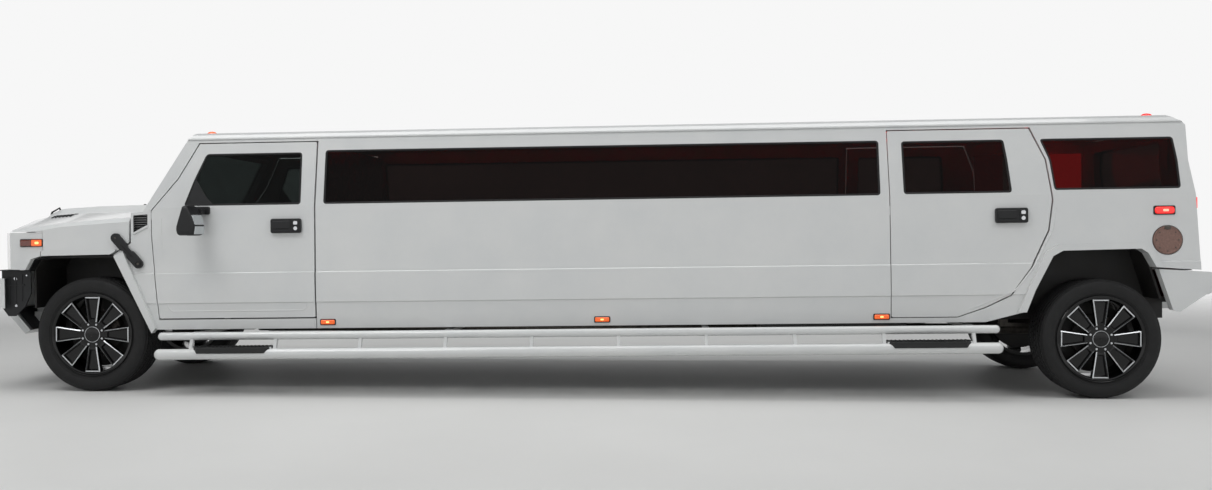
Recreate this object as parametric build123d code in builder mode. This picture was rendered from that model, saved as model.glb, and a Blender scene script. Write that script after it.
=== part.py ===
from build123d import *
import math
import os

# A stretch limousine built on a big square off-roader, in millimetres, +Z up.
# Its front faces -X and its driver's side faces -Y. The origin lies on the ground,
# midway between the axles. The body's sizes are taken level, and the finished body
# pieces are leaned nose down about the Y axis, as the car stands on its springs.

# Overall sizes
WHEELBASE = 7691
FRONT = -WHEELBASE / 2
REAR = WHEELBASE / 2
NOSE_DOWN = 0.75
LEAN = math.radians(NOSE_DOWN)

# Wheels
TYRE_RADIUS = 444.5
TYRE_WIDTH = 318
TYRE_PROUD = 14
BEAD_RADIUS = 305
RIM_LIP_RADIUS = 324
RIM_WALL = 12
RIM_WIDTH = 292
DISC_DEPTH = 46
DISC_INSET = 8
HUB_RADIUS = 98
HUB_BORE = 58
SPOKE_COUNT = 8
SPOKE_ROOT = (HUB_BORE + 2, 27)
SPOKE_TIP = (BEAD_RADIUS - 9, 61)
SPOKE_RIB = 14
POCKET_ROOT = HUB_RADIUS + 28
POCKET_TIP = BEAD_RADIUS - 29
POCKET_DEPTH = 18
HUB_LENGTH = 70
HUB_CAP = 12
LUG_COUNT = 8
LUG_CIRCLE = 165.1
LUG_RADIUS = 11
AXLE_RUN_FIT = 0.08
TYRE_SEAT = 0.3

# Body side, from the sill up: heights and half-widths of its lines
SIDE_HW = 996
SILL_Z = 528
SILL_TUCK = 8
SILL_HW = SIDE_HW - SILL_TUCK
SWAGE_LOW_Z = 733
SWAGE_HIGH_Z = 961
SWAGE_STEP = 6
BELT_Z = 1470
BELT_TUCK = 11
BELT_HW = SIDE_HW - BELT_TUCK
RAIL_Z = BELT_Z + 510
TUMBLEHOME = 103
RAIL_HW = BELT_HW - TUMBLEHOME
WALL = 70
WINDOW_FRAME = 42
WALL_TURN = 45
COWL_Z = BELT_Z - 30
BODY_REACH = 1.5 * SIDE_HW

# Wheel positions across the car, from the side of the body
WHEEL_Y = SIDE_HW + TYRE_PROUD - TYRE_WIDTH / 2
KINGPIN_INSET = 51
KNUCKLE_Y = WHEEL_Y - KINGPIN_INSET
DISC_Y = WHEEL_Y + RIM_WIDTH / 2 - DISC_DEPTH - DISC_INSET

# Gaps between panels
DOOR_GAP = 6
DOOR_REAR_GAP = 12
DOOR_TOP_Z = RAIL_Z - 8
WINDOW_LOW_Z = BELT_Z + 15
WINDOW_HIGH_Z = RAIL_Z - 91
WINDOW_MID_Z = (WINDOW_LOW_Z + WINDOW_HIGH_Z) / 2
PILLAR_BEND_Z = RAIL_Z - 278
REAR_BEND_Z = RAIL_Z - 247
GLASS_SEAT = 0.3
GLASS_INSET = 7
GLASS = 6

# Stations along the body, the front ones from the front axle, the rear ones from the rear axle
HOOD_FRONT_X = FRONT - 727
DOOR_FRONT_X = FRONT + 500
DOOR_REAR_X = FRONT + 1780
STRETCH_FRONT_X = DOOR_REAR_X + DOOR_REAR_GAP
STRETCH_REAR_X = REAR - 1532
REAR_DOOR_X = STRETCH_REAR_X + DOOR_GAP

# Windscreen plane, from its foot to its head
SCREEN_FOOT = (FRONT + 425, COWL_Z)
SCREEN_HEAD = (FRONT + 735, RAIL_Z)
SCREEN_SIDE = 107
SCREEN_FOOT_HW = BELT_HW - SCREEN_SIDE - 18
SCREEN_HEAD_HW = RAIL_HW - SCREEN_SIDE
SCREEN_MARGIN = 45

# Roof
ROOF_EDGE_HW = RAIL_HW - 82
ROOF_EDGE_Z = RAIL_Z + 82
ROOF_CROWN = 14
ROOF_RIDGE = 4
ROOF_CROWN_Z = ROOF_EDGE_Z + ROOF_CROWN + ROOF_RIDGE
ROOF_SHOULDER = 380
ROOF_SKIN = 38
GUTTER = 8

# Ladder frame
RAIL_WIDTH = 80
RAIL_INNER_HW = 360
FRAME_LIFT = 55.5
FRAME_DEPTH = 140
FRAME_BOTTOM_Z = TYRE_RADIUS + FRAME_LIFT
FRAME_TOP_Z = FRAME_BOTTOM_Z + FRAME_DEPTH
FLOOR_SKIN = 40
FLOOR_HW = SILL_HW - WALL - 13


def side_face(points, radius=0.0, grow=0.0):
    """Outline in side view, x along and z up, that extrudes towards the driver's side."""
    with BuildSketch(Plane.XZ) as face:
        Polygon(*points, align=None)
        if radius:
            fillet(face.vertices(), radius)
        if grow:
            offset(amount=grow, kind=Kind.INTERSECTION)
    return face.sketch


def wall_face(x):
    """Section of the driver's side wall from the sill to the roof rail."""
    points = [
        (-SILL_HW, SILL_Z),
        (-SIDE_HW, SWAGE_LOW_Z - SWAGE_STEP),
        (-SIDE_HW - SWAGE_STEP, SWAGE_LOW_Z),
        (-SIDE_HW - SWAGE_STEP, SWAGE_HIGH_Z),
        (-SIDE_HW, SWAGE_HIGH_Z + SWAGE_STEP),
        (-BELT_HW, BELT_Z),
        (-RAIL_HW, RAIL_Z),
        (-RAIL_HW + WINDOW_FRAME, RAIL_Z),
        (-BELT_HW + WINDOW_FRAME, BELT_Z),
        (-BELT_HW + WALL, BELT_Z - WALL_TURN),
        (-SILL_HW + WALL, SILL_Z),
    ]
    with BuildSketch(Plane.YZ.offset(x)) as face:
        Polygon(*points, align=None)
    return face.sketch


def pane_face(x):
    """Section of a side pane, set in from the leaning side above the belt."""
    inner = GLASS_INSET + GLASS
    points = [
        (-BELT_HW + GLASS_INSET, BELT_Z),
        (-RAIL_HW + GLASS_INSET, RAIL_Z),
        (-RAIL_HW + inner, RAIL_Z),
        (-BELT_HW + inner, BELT_Z),
    ]
    with BuildSketch(Plane.YZ.offset(x)) as face:
        Polygon(*points, align=None)
    return face.sketch


def side_hw(z):
    """Half-width of the body side at a height."""
    rows = (
        (SILL_Z, SILL_HW),
        (SWAGE_LOW_Z - SWAGE_STEP, SIDE_HW),
        (SWAGE_HIGH_Z + SWAGE_STEP, SIDE_HW),
        (BELT_Z, BELT_HW),
        (RAIL_Z, RAIL_HW),
    )
    for (z_low, hw_low), (z_high, hw_high) in zip(rows, rows[1:]):
        if z <= z_high:
            return hw_low + (hw_high - hw_low) * (z - z_low) / (z_high - z_low)
    return RAIL_HW


def roof_z(y):
    """Height of the roof's outside at a distance from its middle."""
    shoulder = ROOF_EDGE_HW - ROOF_SHOULDER
    if abs(y) <= shoulder:
        return ROOF_CROWN_Z - ROOF_RIDGE * abs(y) / shoulder
    return ROOF_EDGE_Z + ROOF_CROWN * (ROOF_EDGE_HW - abs(y)) / ROOF_SHOULDER


def front_points(rows):
    """Side-view points given from the front axle."""
    return [(FRONT + x, z) for x, z in rows]


def rear_points(rows):
    """Side-view points given from the rear axle."""
    return [(REAR + x, z) for x, z in rows]


# Outlines in side view, each row x from the named axle and height
REAR_ARCH = rear_points([(-545, 600), (-479, 764), (-349, 1015), (-277, 1054), (287, 1062), (337, 1028)])
FRONT_DOOR = front_points(
    [
        (552, 614),
        (500, 1257),
        (500, BELT_Z - 20),
        (700, PILLAR_BEND_Z - 2),
        (850, DOOR_TOP_Z),
        (1780, DOOR_TOP_Z),
        (1780, 614),
    ]
)
FRONT_WINDOW = front_points(
    [
        (755, WINDOW_LOW_Z),
        (824, WINDOW_MID_Z),
        (910, WINDOW_HIGH_Z),
        (1668, WINDOW_HIGH_Z),
        (1674, WINDOW_LOW_Z),
    ]
)
STRETCH_WINDOW = [
    (STRETCH_FRONT_X + 62, WINDOW_LOW_Z),
    (STRETCH_FRONT_X + 62, WINDOW_HIGH_Z + 14),
    (STRETCH_REAR_X - 62, WINDOW_HIGH_Z + 9),
    (STRETCH_REAR_X - 66, WINDOW_LOW_Z),
]
REAR_DOOR = [(REAR_DOOR_X, 570)] + rear_points(
    [
        (-1040, 570),
        (-838, 640),
        (-654, 728),
        (-507, 927),
        (-373, 1208),
        (-342, COWL_Z - 10),
        (-373, REAR_BEND_Z),
        (-476, DOOR_TOP_Z),
    ]
) + [(REAR_DOOR_X, DOOR_TOP_Z)]
REAR_DOOR_WINDOW = rear_points(
    [
        (-1423, WINDOW_LOW_Z + 5),
        (-1423, WINDOW_HIGH_Z),
        (-667, WINDOW_HIGH_Z),
        (-648, REAR_BEND_Z),
        (-630, WINDOW_LOW_Z + 5),
    ]
)
QUARTER_WINDOW = rear_points(
    [
        (-400, WINDOW_HIGH_Z),
        (-340, REAR_BEND_Z),
        (-318, WINDOW_LOW_Z + 19),
        (594, WINDOW_LOW_Z + 19),
        (590, REAR_BEND_Z - 18),
        (570, WINDOW_HIGH_Z),
    ]
)
REAR_LINE = rear_points(
    [(726, 880), (726, 912), (698, BELT_Z - 18), (667, REAR_BEND_Z - 20), (674, RAIL_Z)]
)
WINDOW_CORNER = 22


# Ladder frame, with one bay more at each end than between its crossmembers amidships
BAY_COUNT = 6
BAY = (WHEELBASE - 620) / BAY_COUNT
END_CROSS = 560
CROSS_XS = [FRONT + index * BAY for index in range(BAY_COUNT + 1)] + [FRONT - END_CROSS, REAR + END_CROSS]
CROSS_LIFT = 20
CROSS_WIDTH = 90
CROSS_DEPTH = 60
CROSS_SEAT = 0.3
CROSS_HW = RAIL_INNER_HW - CROSS_SEAT
FRAME_END = 700
HITCH_SIDE = 70
HITCH_BORE = 50.8
HITCH_LENGTH = 190

with BuildPart() as chassis_frame:
    rail_length = WHEELBASE + 2 * FRAME_END
    for side in (-1, 1):
        with Locations((0, side * (RAIL_INNER_HW + RAIL_WIDTH / 2), FRAME_BOTTOM_Z)):
            Box(
                rail_length,
                RAIL_WIDTH,
                FRAME_DEPTH,
                align=(Align.CENTER, Align.CENTER, Align.MIN),
            )
chassis_frame.part.label = "chassis_frame"

with BuildPart() as crossmembers:
    for x in CROSS_XS:
        with Locations((x, 0, FRAME_BOTTOM_Z + CROSS_LIFT)):
            Box(CROSS_WIDTH, 2 * CROSS_HW, CROSS_DEPTH, align=(Align.CENTER, Align.CENTER, Align.MIN))
    hitch_front = REAR + END_CROSS + CROSS_WIDTH / 2
    with Locations((hitch_front, 0, FRAME_BOTTOM_Z + 50)):
        Box(HITCH_LENGTH, HITCH_SIDE, HITCH_SIDE, align=(Align.MIN, Align.CENTER, Align.CENTER))
    with Locations((hitch_front + 30, 0, FRAME_BOTTOM_Z + 50)):
        Box(
            HITCH_LENGTH,
            HITCH_BORE,
            HITCH_BORE,
            align=(Align.MIN, Align.CENTER, Align.CENTER),
            mode=Mode.SUBTRACT,
        )
crossmembers.part.label = "crossmembers"

# Engine and gearbox, as one plain block on its crossmember
ENGINE_LENGTH = 740
ENGINE_WIDTH = 560
ENGINE_HEIGHT = 560
ENGINE_X = FRONT + 20
GEARBOX_LENGTH = 560
GEARBOX_WIDTH = 240
GEARBOX_HEIGHT = 190
with BuildPart() as engine_block:
    engine_foot_z = FRAME_BOTTOM_Z + CROSS_LIFT + CROSS_DEPTH
    with Locations((ENGINE_X, 0, engine_foot_z)):
        Box(ENGINE_LENGTH, ENGINE_WIDTH, ENGINE_HEIGHT, align=(Align.CENTER, Align.CENTER, Align.MIN))
    with Locations((ENGINE_X + ENGINE_LENGTH / 2, 0, engine_foot_z - 40)):
        Box(
            GEARBOX_LENGTH,
            GEARBOX_WIDTH,
            GEARBOX_HEIGHT,
            align=(Align.MIN, Align.CENTER, Align.CENTER),
        )
engine_block.part.label = "engine_block"

# Exhaust: pipe, silencer and side outlet ahead of the right rear wheel
PIPE_RADIUS = 34
PIPE_Y = 220
PIPE_Z = FRAME_BOTTOM_Z - 48
PIPE_FRONT_X = FRONT + 900
SILENCER_X = REAR - 2345
HANGER_SEAT = 0.3
with BuildPart() as exhaust:
    with BuildLine():
        FilletPolyline(
            (PIPE_FRONT_X, PIPE_Y, PIPE_Z),
            (REAR - 1100, PIPE_Y, PIPE_Z),
            (REAR - 760, 560, PIPE_Z),
            (REAR - 760, SIDE_HW - 56, PIPE_Z - 20),
            radius=120,
        )
    with BuildSketch(Plane(origin=(PIPE_FRONT_X, PIPE_Y, PIPE_Z), x_dir=(0, 1, 0), z_dir=(1, 0, 0))):
        Circle(PIPE_RADIUS)
    sweep()
    with Locations((SILENCER_X, PIPE_Y, PIPE_Z)):
        Box(700, 220, 95)
    hanger_top_z = FRAME_BOTTOM_Z + CROSS_LIFT - HANGER_SEAT
    for index in (2, 5):
        with Locations((CROSS_XS[index], PIPE_Y, hanger_top_z)):
            Box(40, 40, hanger_top_z - PIPE_Z, align=(Align.CENTER, Align.CENTER, Align.MAX))
exhaust.part.label = "exhaust"

# Posts of the running boards, which the fuel tank hangs between
POST_COUNT = 10
POST_FRONT_X = FRONT + 860
POST_REAR_X = REAR - 960
POST_PITCH = (POST_REAR_X - POST_FRONT_X) / (POST_COUNT - 1)
TANK_INNER_Y = RAIL_INNER_HW + RAIL_WIDTH + 20
TANK_WIDTH = FLOOR_HW - 45 - TANK_INNER_Y
with BuildPart() as fuel_tank:
    with Locations((POST_REAR_X - 1.5 * POST_PITCH, -TANK_INNER_Y, FRAME_TOP_Z)):
        Box(1100, TANK_WIDTH, 210, align=(Align.CENTER, Align.MAX, Align.MAX))
    fillet(fuel_tank.edges().filter_by(Axis.X), 30)
fuel_tank.part.label = "fuel_tank"

# Floor, notched round the rear wheels, with the panel under the tailgate
NOTCH_FRONT = REAR - 560
NOTCH_REAR = REAR + 500
REAR_LINER_HW = WHEEL_Y - TYRE_WIDTH / 2 - 47
NOTCH_HW = REAR_LINER_HW - 5
POST_HW = RAIL_HW - 120
BULKHEAD = 464
BULKHEAD_DEPTH = 24
FLOOR_FRONT_X = FRONT + BULKHEAD + BULKHEAD_DEPTH
FLOOR_REAR_X = REAR + 640
CLOSING_TOP_Z = 880
with BuildPart() as floor_pan:
    with BuildSketch(Plane.XY.offset(FRAME_TOP_Z)):
        with Locations((FLOOR_FRONT_X, 0)):
            Rectangle(FLOOR_REAR_X - FLOOR_FRONT_X, 2 * FLOOR_HW, align=(Align.MIN, Align.CENTER))
        for side in (-1, 1):
            with Locations((NOTCH_FRONT, side * (NOTCH_HW + 200))):
                Rectangle(
                    NOTCH_REAR - NOTCH_FRONT, 400, align=(Align.MIN, Align.CENTER), mode=Mode.SUBTRACT
                )
            with Locations((NOTCH_REAR, side * (NOTCH_HW + 200))):
                Rectangle(400, 400, align=(Align.MIN, Align.CENTER), mode=Mode.SUBTRACT)
    extrude(amount=FLOOR_SKIN)
    with Locations((FLOOR_REAR_X, 0, FRAME_TOP_Z)):
        Box(
            50,
            2 * (POST_HW - 2),
            CLOSING_TOP_Z - FRAME_TOP_Z,
            align=(Align.MIN, Align.CENTER, Align.MIN),
        )
floor_pan.part.label = "floor_pan"

# Liners over the wheels: a top that follows the arch and an inner wall
LINER = 15
FRONT_LINER_HW = KNUCKLE_Y - 334
with BuildPart() as wheel_housings:
    front_shape = front_points(
        [(-500, 700), (-500, 1010), (-450, 1092), (-380, 1107), (195, 1107), (BULKHEAD, 760), (BULKHEAD, 700)]
    )
    front_cut = front_points(
        [(-485, 690), (-485, 1000), (-442, 1077), (-374, 1092), (187, 1092), (BULKHEAD - 18, 750), (480, 690)]
    )
    extrude(side_face(front_shape), amount=FLOOR_HW)
    extrude(side_face(front_shape), amount=FRONT_LINER_HW, mode=Mode.SUBTRACT)
    with BuildSketch(Plane.XZ.offset(FRONT_LINER_HW + LINER)) as cut:
        Polygon(*front_cut, align=None)
    extrude(cut.sketch, amount=600, mode=Mode.SUBTRACT)
    rear_shape = rear_points([(-535, 681), (-375, 1040), (-290, 1082), (300, 1090), (365, 1050), (480, 681)])
    rear_cut = rear_points([(-545, 620), (-355, 1026), (-284, 1067), (294, 1075), (351, 1042), (480, 620)])
    extrude(side_face(rear_shape), amount=BELT_HW - WALL + 0.8)
    extrude(side_face(rear_shape), amount=REAR_LINER_HW, mode=Mode.SUBTRACT)
    with BuildSketch(Plane.XZ.offset(REAR_LINER_HW + LINER)) as rear_hollow:
        Polygon(*rear_cut, align=None)
    extrude(rear_hollow.sketch, amount=600, mode=Mode.SUBTRACT)
    mirror(about=Plane.XZ)
wheel_housings.part.label = "wheel_housings"

# Screen plane: local x to the driver's side, local y up the glass, normal out of it
screen_rise = Vector(SCREEN_HEAD[0] - SCREEN_FOOT[0], 0, SCREEN_HEAD[1] - SCREEN_FOOT[1])
SCREEN_LENGTH = screen_rise.length
SCREEN = Plane(
    origin=(SCREEN_FOOT[0], 0, SCREEN_FOOT[1]),
    x_dir=(0, -1, 0),
    z_dir=screen_rise.cross(Vector(0, 1, 0)),
)


def screen_face(foot_hw, head_hw, foot, head):
    """Trapezium on the screen plane between two distances up the glass."""
    rows = [(-foot_hw, foot), (foot_hw, foot), (head_hw, head), (-head_hw, head)]
    with BuildSketch(SCREEN) as face:
        Polygon(*rows, align=None)
        fillet(face.vertices(), 30)
    return face.sketch


# Scuttle, bulkhead, screen frame and the leg behind each front wheel, with its sill
LEG = front_points(
    [
        (332, COWL_Z),
        (332, 1203),
        (189, 1112),
        (208, 1103),
        (497, 522),
        (1785, 522),
        (1785, 604),
        (545, 604),
        (493, 1257),
        (493, COWL_Z),
    ]
)
PILLAR = front_points(
    [
        (425, COWL_Z - 2),
        (735, RAIL_Z),
        (842, RAIL_Z),
        (692, PILLAR_BEND_Z + 2),
        (493, BELT_Z - 15),
        (493, COWL_Z - 2),
    ]
)
FLARE_OUT = 32
LEG_FLARE = front_points([(208, 1103), (500, 503), (530, 540), (282, 1136)])
VENT = front_points([(352, 1282), (352, 1418), (466, 1426), (464, 1338)])
VENT_DEPTH = 30
TYRE_RELIEF = front_points([(150, 1103), (442, 503), (520, 503), (250, 1103)])
FLARE_ROOT = 26
HINGE_SEAT = 0.3
DOOR_TOUCH = 500 - HINGE_SEAT
HINGE_SEATS = (
    [(486, COWL_Z - 60), (DOOR_TOUCH, COWL_Z - 60), (DOOR_TOUCH, COWL_Z - 4), (486, COWL_Z - 4)],
    [(527, 700), (544.7, 700), (539.9, 760), (522, 760)],
)
SCREEN_FRAME = 55
with BuildPart() as cowl_and_pillars:
    extrude(wall_face(FRONT + 180), amount=DOOR_REAR_X - FRONT)
    with BuildSketch(Plane.XZ) as side_keep:
        Polygon(*LEG, align=None)
        Polygon(*PILLAR, align=None)
    extrude(side_keep.sketch, amount=BODY_REACH, mode=Mode.INTERSECT)
    with BuildSketch(Plane.XZ) as relief:
        Polygon(*TYRE_RELIEF, align=None)
    extrude(relief.sketch, amount=SIDE_HW - FLARE_ROOT, mode=Mode.SUBTRACT)
    with BuildSketch(Plane.XZ.offset(SIDE_HW - FLARE_ROOT)) as flare:
        Polygon(*LEG_FLARE, align=None)
    extrude(flare.sketch, amount=FLARE_ROOT + FLARE_OUT)
    with BuildSketch(Plane.XZ) as hinges:
        for points in HINGE_SEATS:
            Polygon(*front_points(points), align=None)
    extrude(hinges.sketch, amount=SIDE_HW - 14)
    extrude(hinges.sketch, amount=SIDE_HW - WALL + 6, mode=Mode.SUBTRACT)
    with BuildSketch(Plane.XZ.offset(SIDE_HW - VENT_DEPTH)) as vent:
        Polygon(*VENT, align=None)
    extrude(vent.sketch, amount=200, mode=Mode.SUBTRACT)
    mirror(about=Plane.XZ)
    extrude(screen_face(BELT_HW - 12, RAIL_HW - 4, 0, SCREEN_LENGTH), amount=-SCREEN_FRAME)
    extrude(
        screen_face(SCREEN_FOOT_HW, SCREEN_HEAD_HW, SCREEN_MARGIN, SCREEN_LENGTH - SCREEN_MARGIN),
        amount=-100,
        mode=Mode.SUBTRACT,
    )
    with Locations((FRONT + 332, 0, COWL_Z)):
        Box(150, 2 * (BELT_HW - 20), 36, align=(Align.MIN, Align.CENTER, Align.MAX))
    with Locations((FRONT + BULKHEAD, 0, FRAME_TOP_Z)):
        Box(
            BULKHEAD_DEPTH,
            2 * (SIDE_HW - WALL + 2),
            COWL_Z - 2 - FRAME_TOP_Z,
            align=(Align.MIN, Align.CENTER, Align.MIN),
        )
cowl_and_pillars.part.label = "cowl_and_pillars"

with BuildPart() as windshield:
    extrude(
        screen_face(
            SCREEN_FOOT_HW - GLASS_SEAT,
            SCREEN_HEAD_HW - GLASS_SEAT,
            SCREEN_MARGIN + GLASS_SEAT,
            SCREEN_LENGTH - SCREEN_MARGIN - GLASS_SEAT,
        ),
        amount=-(GLASS + 4),
    )
    extrude(
        screen_face(
            SCREEN_FOOT_HW - GLASS_SEAT,
            SCREEN_HEAD_HW - GLASS_SEAT,
            SCREEN_MARGIN + GLASS_SEAT,
            SCREEN_LENGTH - SCREEN_MARGIN - GLASS_SEAT,
        ),
        amount=-4,
        mode=Mode.SUBTRACT,
    )
windshield.part.label = "windshield"

# Roof: skin with gutters, closed by a header over the screen and one over the tailgate
ROOF_PROFILE = front_points(
    [(735, RAIL_Z), (782, ROOF_EDGE_Z - 6), (860, ROOF_CROWN_Z + 20)]
) + rear_points([(530, ROOF_CROWN_Z + 20), (572, ROOF_EDGE_Z - 4), (652, RAIL_Z + 24), (674, RAIL_Z)])
roof_half = [
    (RAIL_HW, RAIL_Z),
    (RAIL_HW - 6, RAIL_Z + 22),
    (RAIL_HW + GUTTER - 6, RAIL_Z + 26),
    (RAIL_HW + GUTTER - 8, RAIL_Z + 36),
    (RAIL_HW - 14, RAIL_Z + 38),
    (RAIL_HW - 32, RAIL_Z + 62),
    (ROOF_EDGE_HW, ROOF_EDGE_Z),
    (ROOF_EDGE_HW - ROOF_SHOULDER, ROOF_CROWN_Z - ROOF_RIDGE),
]
lining_half = [
    (RAIL_HW - WINDOW_FRAME, RAIL_Z),
    (RAIL_HW - WINDOW_FRAME - 14, RAIL_Z + 30),
    (ROOF_EDGE_HW - 20, ROOF_EDGE_Z - ROOF_SKIN),
    (ROOF_EDGE_HW - ROOF_SHOULDER, ROOF_CROWN_Z - ROOF_SKIN - ROOF_RIDGE),
]
with BuildPart() as roof_panel:
    with BuildSketch(Plane.YZ.offset(FRONT + 700)):
        outer = roof_half + [(0, ROOF_CROWN_Z)] + [(-y, z) for y, z in reversed(roof_half)]
        inner = lining_half + [(0, ROOF_CROWN_Z - ROOF_SKIN)] + [(-y, z) for y, z in reversed(lining_half)]
        Polygon(*outer, *reversed(inner), align=None)
    extrude(amount=WHEELBASE)
    for x, depth in ((FRONT + 700, 95), (REAR + 600, 120)):
        with Locations((x, 0, RAIL_Z)):
            Box(depth, 2 * (RAIL_HW - WINDOW_FRAME), 60, align=(Align.MIN, Align.CENTER, Align.MIN))
    with BuildSketch(Plane.XZ.offset(-BODY_REACH)) as roof_keep:
        Polygon(*ROOF_PROFILE, align=None)
    extrude(roof_keep.sketch, amount=2 * BODY_REACH, mode=Mode.INTERSECT)
    for side in (-1, 1):
        with Locations((REAR + 630, side * 400, RAIL_Z)):
            Box(36, 90, 8 - HINGE_SEAT, align=(Align.CENTER, Align.CENTER, Align.MAX))
roof_panel.part.label = "roof_panel"

with BuildPart() as stretch_panels:
    extrude(wall_face(STRETCH_FRONT_X), amount=STRETCH_REAR_X - STRETCH_FRONT_X)
    extrude(side_face(STRETCH_WINDOW, WINDOW_CORNER), amount=BODY_REACH, mode=Mode.SUBTRACT)
    for z in (760, COWL_Z - 70):
        with Locations((STRETCH_REAR_X - 10, -SIDE_HW + 40, z)):
            Box(10 + DOOR_GAP - HINGE_SEAT, 46, 70, align=(Align.MIN, Align.CENTER, Align.CENTER))
    mirror(about=Plane.XZ)
stretch_panels.part.label = "stretch_panels"

# Rear quarter: side wall, corner post beside the tailgate, wheel arch flare and window
QUARTER = (
    [(STRETCH_REAR_X, 522)]
    + rear_points([(-858, 522), (-545, 600)])
    + REAR_ARCH[1:]
    + rear_points([(394, 923), (726, 900)])
    + REAR_LINE[1:]
    + rear_points(
        [
            (-464, RAIL_Z),
            (-361, REAR_BEND_Z),
            (-330, COWL_Z - 10),
            (-361, 1206),
            (-496, 922),
            (-646, 721),
            (-834, 633),
            (-1038, 564),
        ]
    )
    + [(STRETCH_REAR_X, 564)]
)
REAR_FLARE = REAR_ARCH + rear_points(
    [(394, 923), (450, 922), (368, 1056), (320, 1108), (-300, 1100), (-395, 1050), (-520, 790), (-600, 600)]
)
FUEL_DOOR_X = REAR + 489
FUEL_DOOR_Z = 1122
FUEL_DOOR_RADIUS = 105
FUEL_POCKET = 26
with BuildPart() as rear_quarters:
    extrude(wall_face(STRETCH_REAR_X), amount=REAR + 740 - STRETCH_REAR_X)
    with BuildSketch(Plane.YZ.offset(REAR + 610)):
        Polygon(
            (-SILL_HW, SILL_Z),
            (-SIDE_HW, SWAGE_HIGH_Z + SWAGE_STEP),
            (-BELT_HW, BELT_Z),
            (-RAIL_HW, RAIL_Z),
            (-POST_HW, RAIL_Z),
            (-POST_HW, SILL_Z),
            align=None,
        )
    extrude(amount=130)
    extrude(side_face(QUARTER), amount=BODY_REACH, mode=Mode.INTERSECT)
    extrude(side_face(QUARTER_WINDOW, WINDOW_CORNER), amount=BODY_REACH, mode=Mode.SUBTRACT)
    with BuildSketch(Plane.XZ.offset(SIDE_HW - WALL)) as flare:
        Polygon(*REAR_FLARE, align=None)
    extrude(flare.sketch, amount=WALL + FLARE_OUT)
    mirror(about=Plane.XZ)
    with BuildSketch(Plane.XZ.offset(SIDE_HW - FUEL_POCKET)) as pocket:
        with Locations((FUEL_DOOR_X, FUEL_DOOR_Z)):
            Circle(FUEL_DOOR_RADIUS + DOOR_GAP)
    extrude(pocket.sketch, amount=200, mode=Mode.SUBTRACT)
    with Locations((FUEL_DOOR_X - 84, -(SIDE_HW - FUEL_POCKET), FUEL_DOOR_Z)):
        Box(20, FUEL_POCKET - 14 - HINGE_SEAT, 40, align=(Align.CENTER, Align.MAX, Align.CENTER))
rear_quarters.part.label = "rear_quarters"

with BuildPart() as fuel_door:
    with BuildSketch(Plane.XZ.offset(SIDE_HW - 14)):
        with Locations((FUEL_DOOR_X, FUEL_DOOR_Z)):
            Circle(FUEL_DOOR_RADIUS)
    extrude(amount=12)
fuel_door.part.label = "fuel_door"

with BuildPart() as side_glass:
    for x_from, x_to in ((STRETCH_FRONT_X, STRETCH_REAR_X), (REAR - 500, REAR + 700)):
        extrude(pane_face(x_from), amount=x_to - x_from)
    with BuildSketch(Plane.XZ) as openings:
        for points in (STRETCH_WINDOW, QUARTER_WINDOW):
            Polygon(*points, align=None)
        fillet(openings.vertices(), WINDOW_CORNER)
        offset(amount=-GLASS_SEAT)
    extrude(openings.sketch, amount=BODY_REACH, mode=Mode.INTERSECT)
    mirror(about=Plane.XZ)
side_glass.part.label = "side_glass"

HOOD_SEAM = 6

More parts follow.
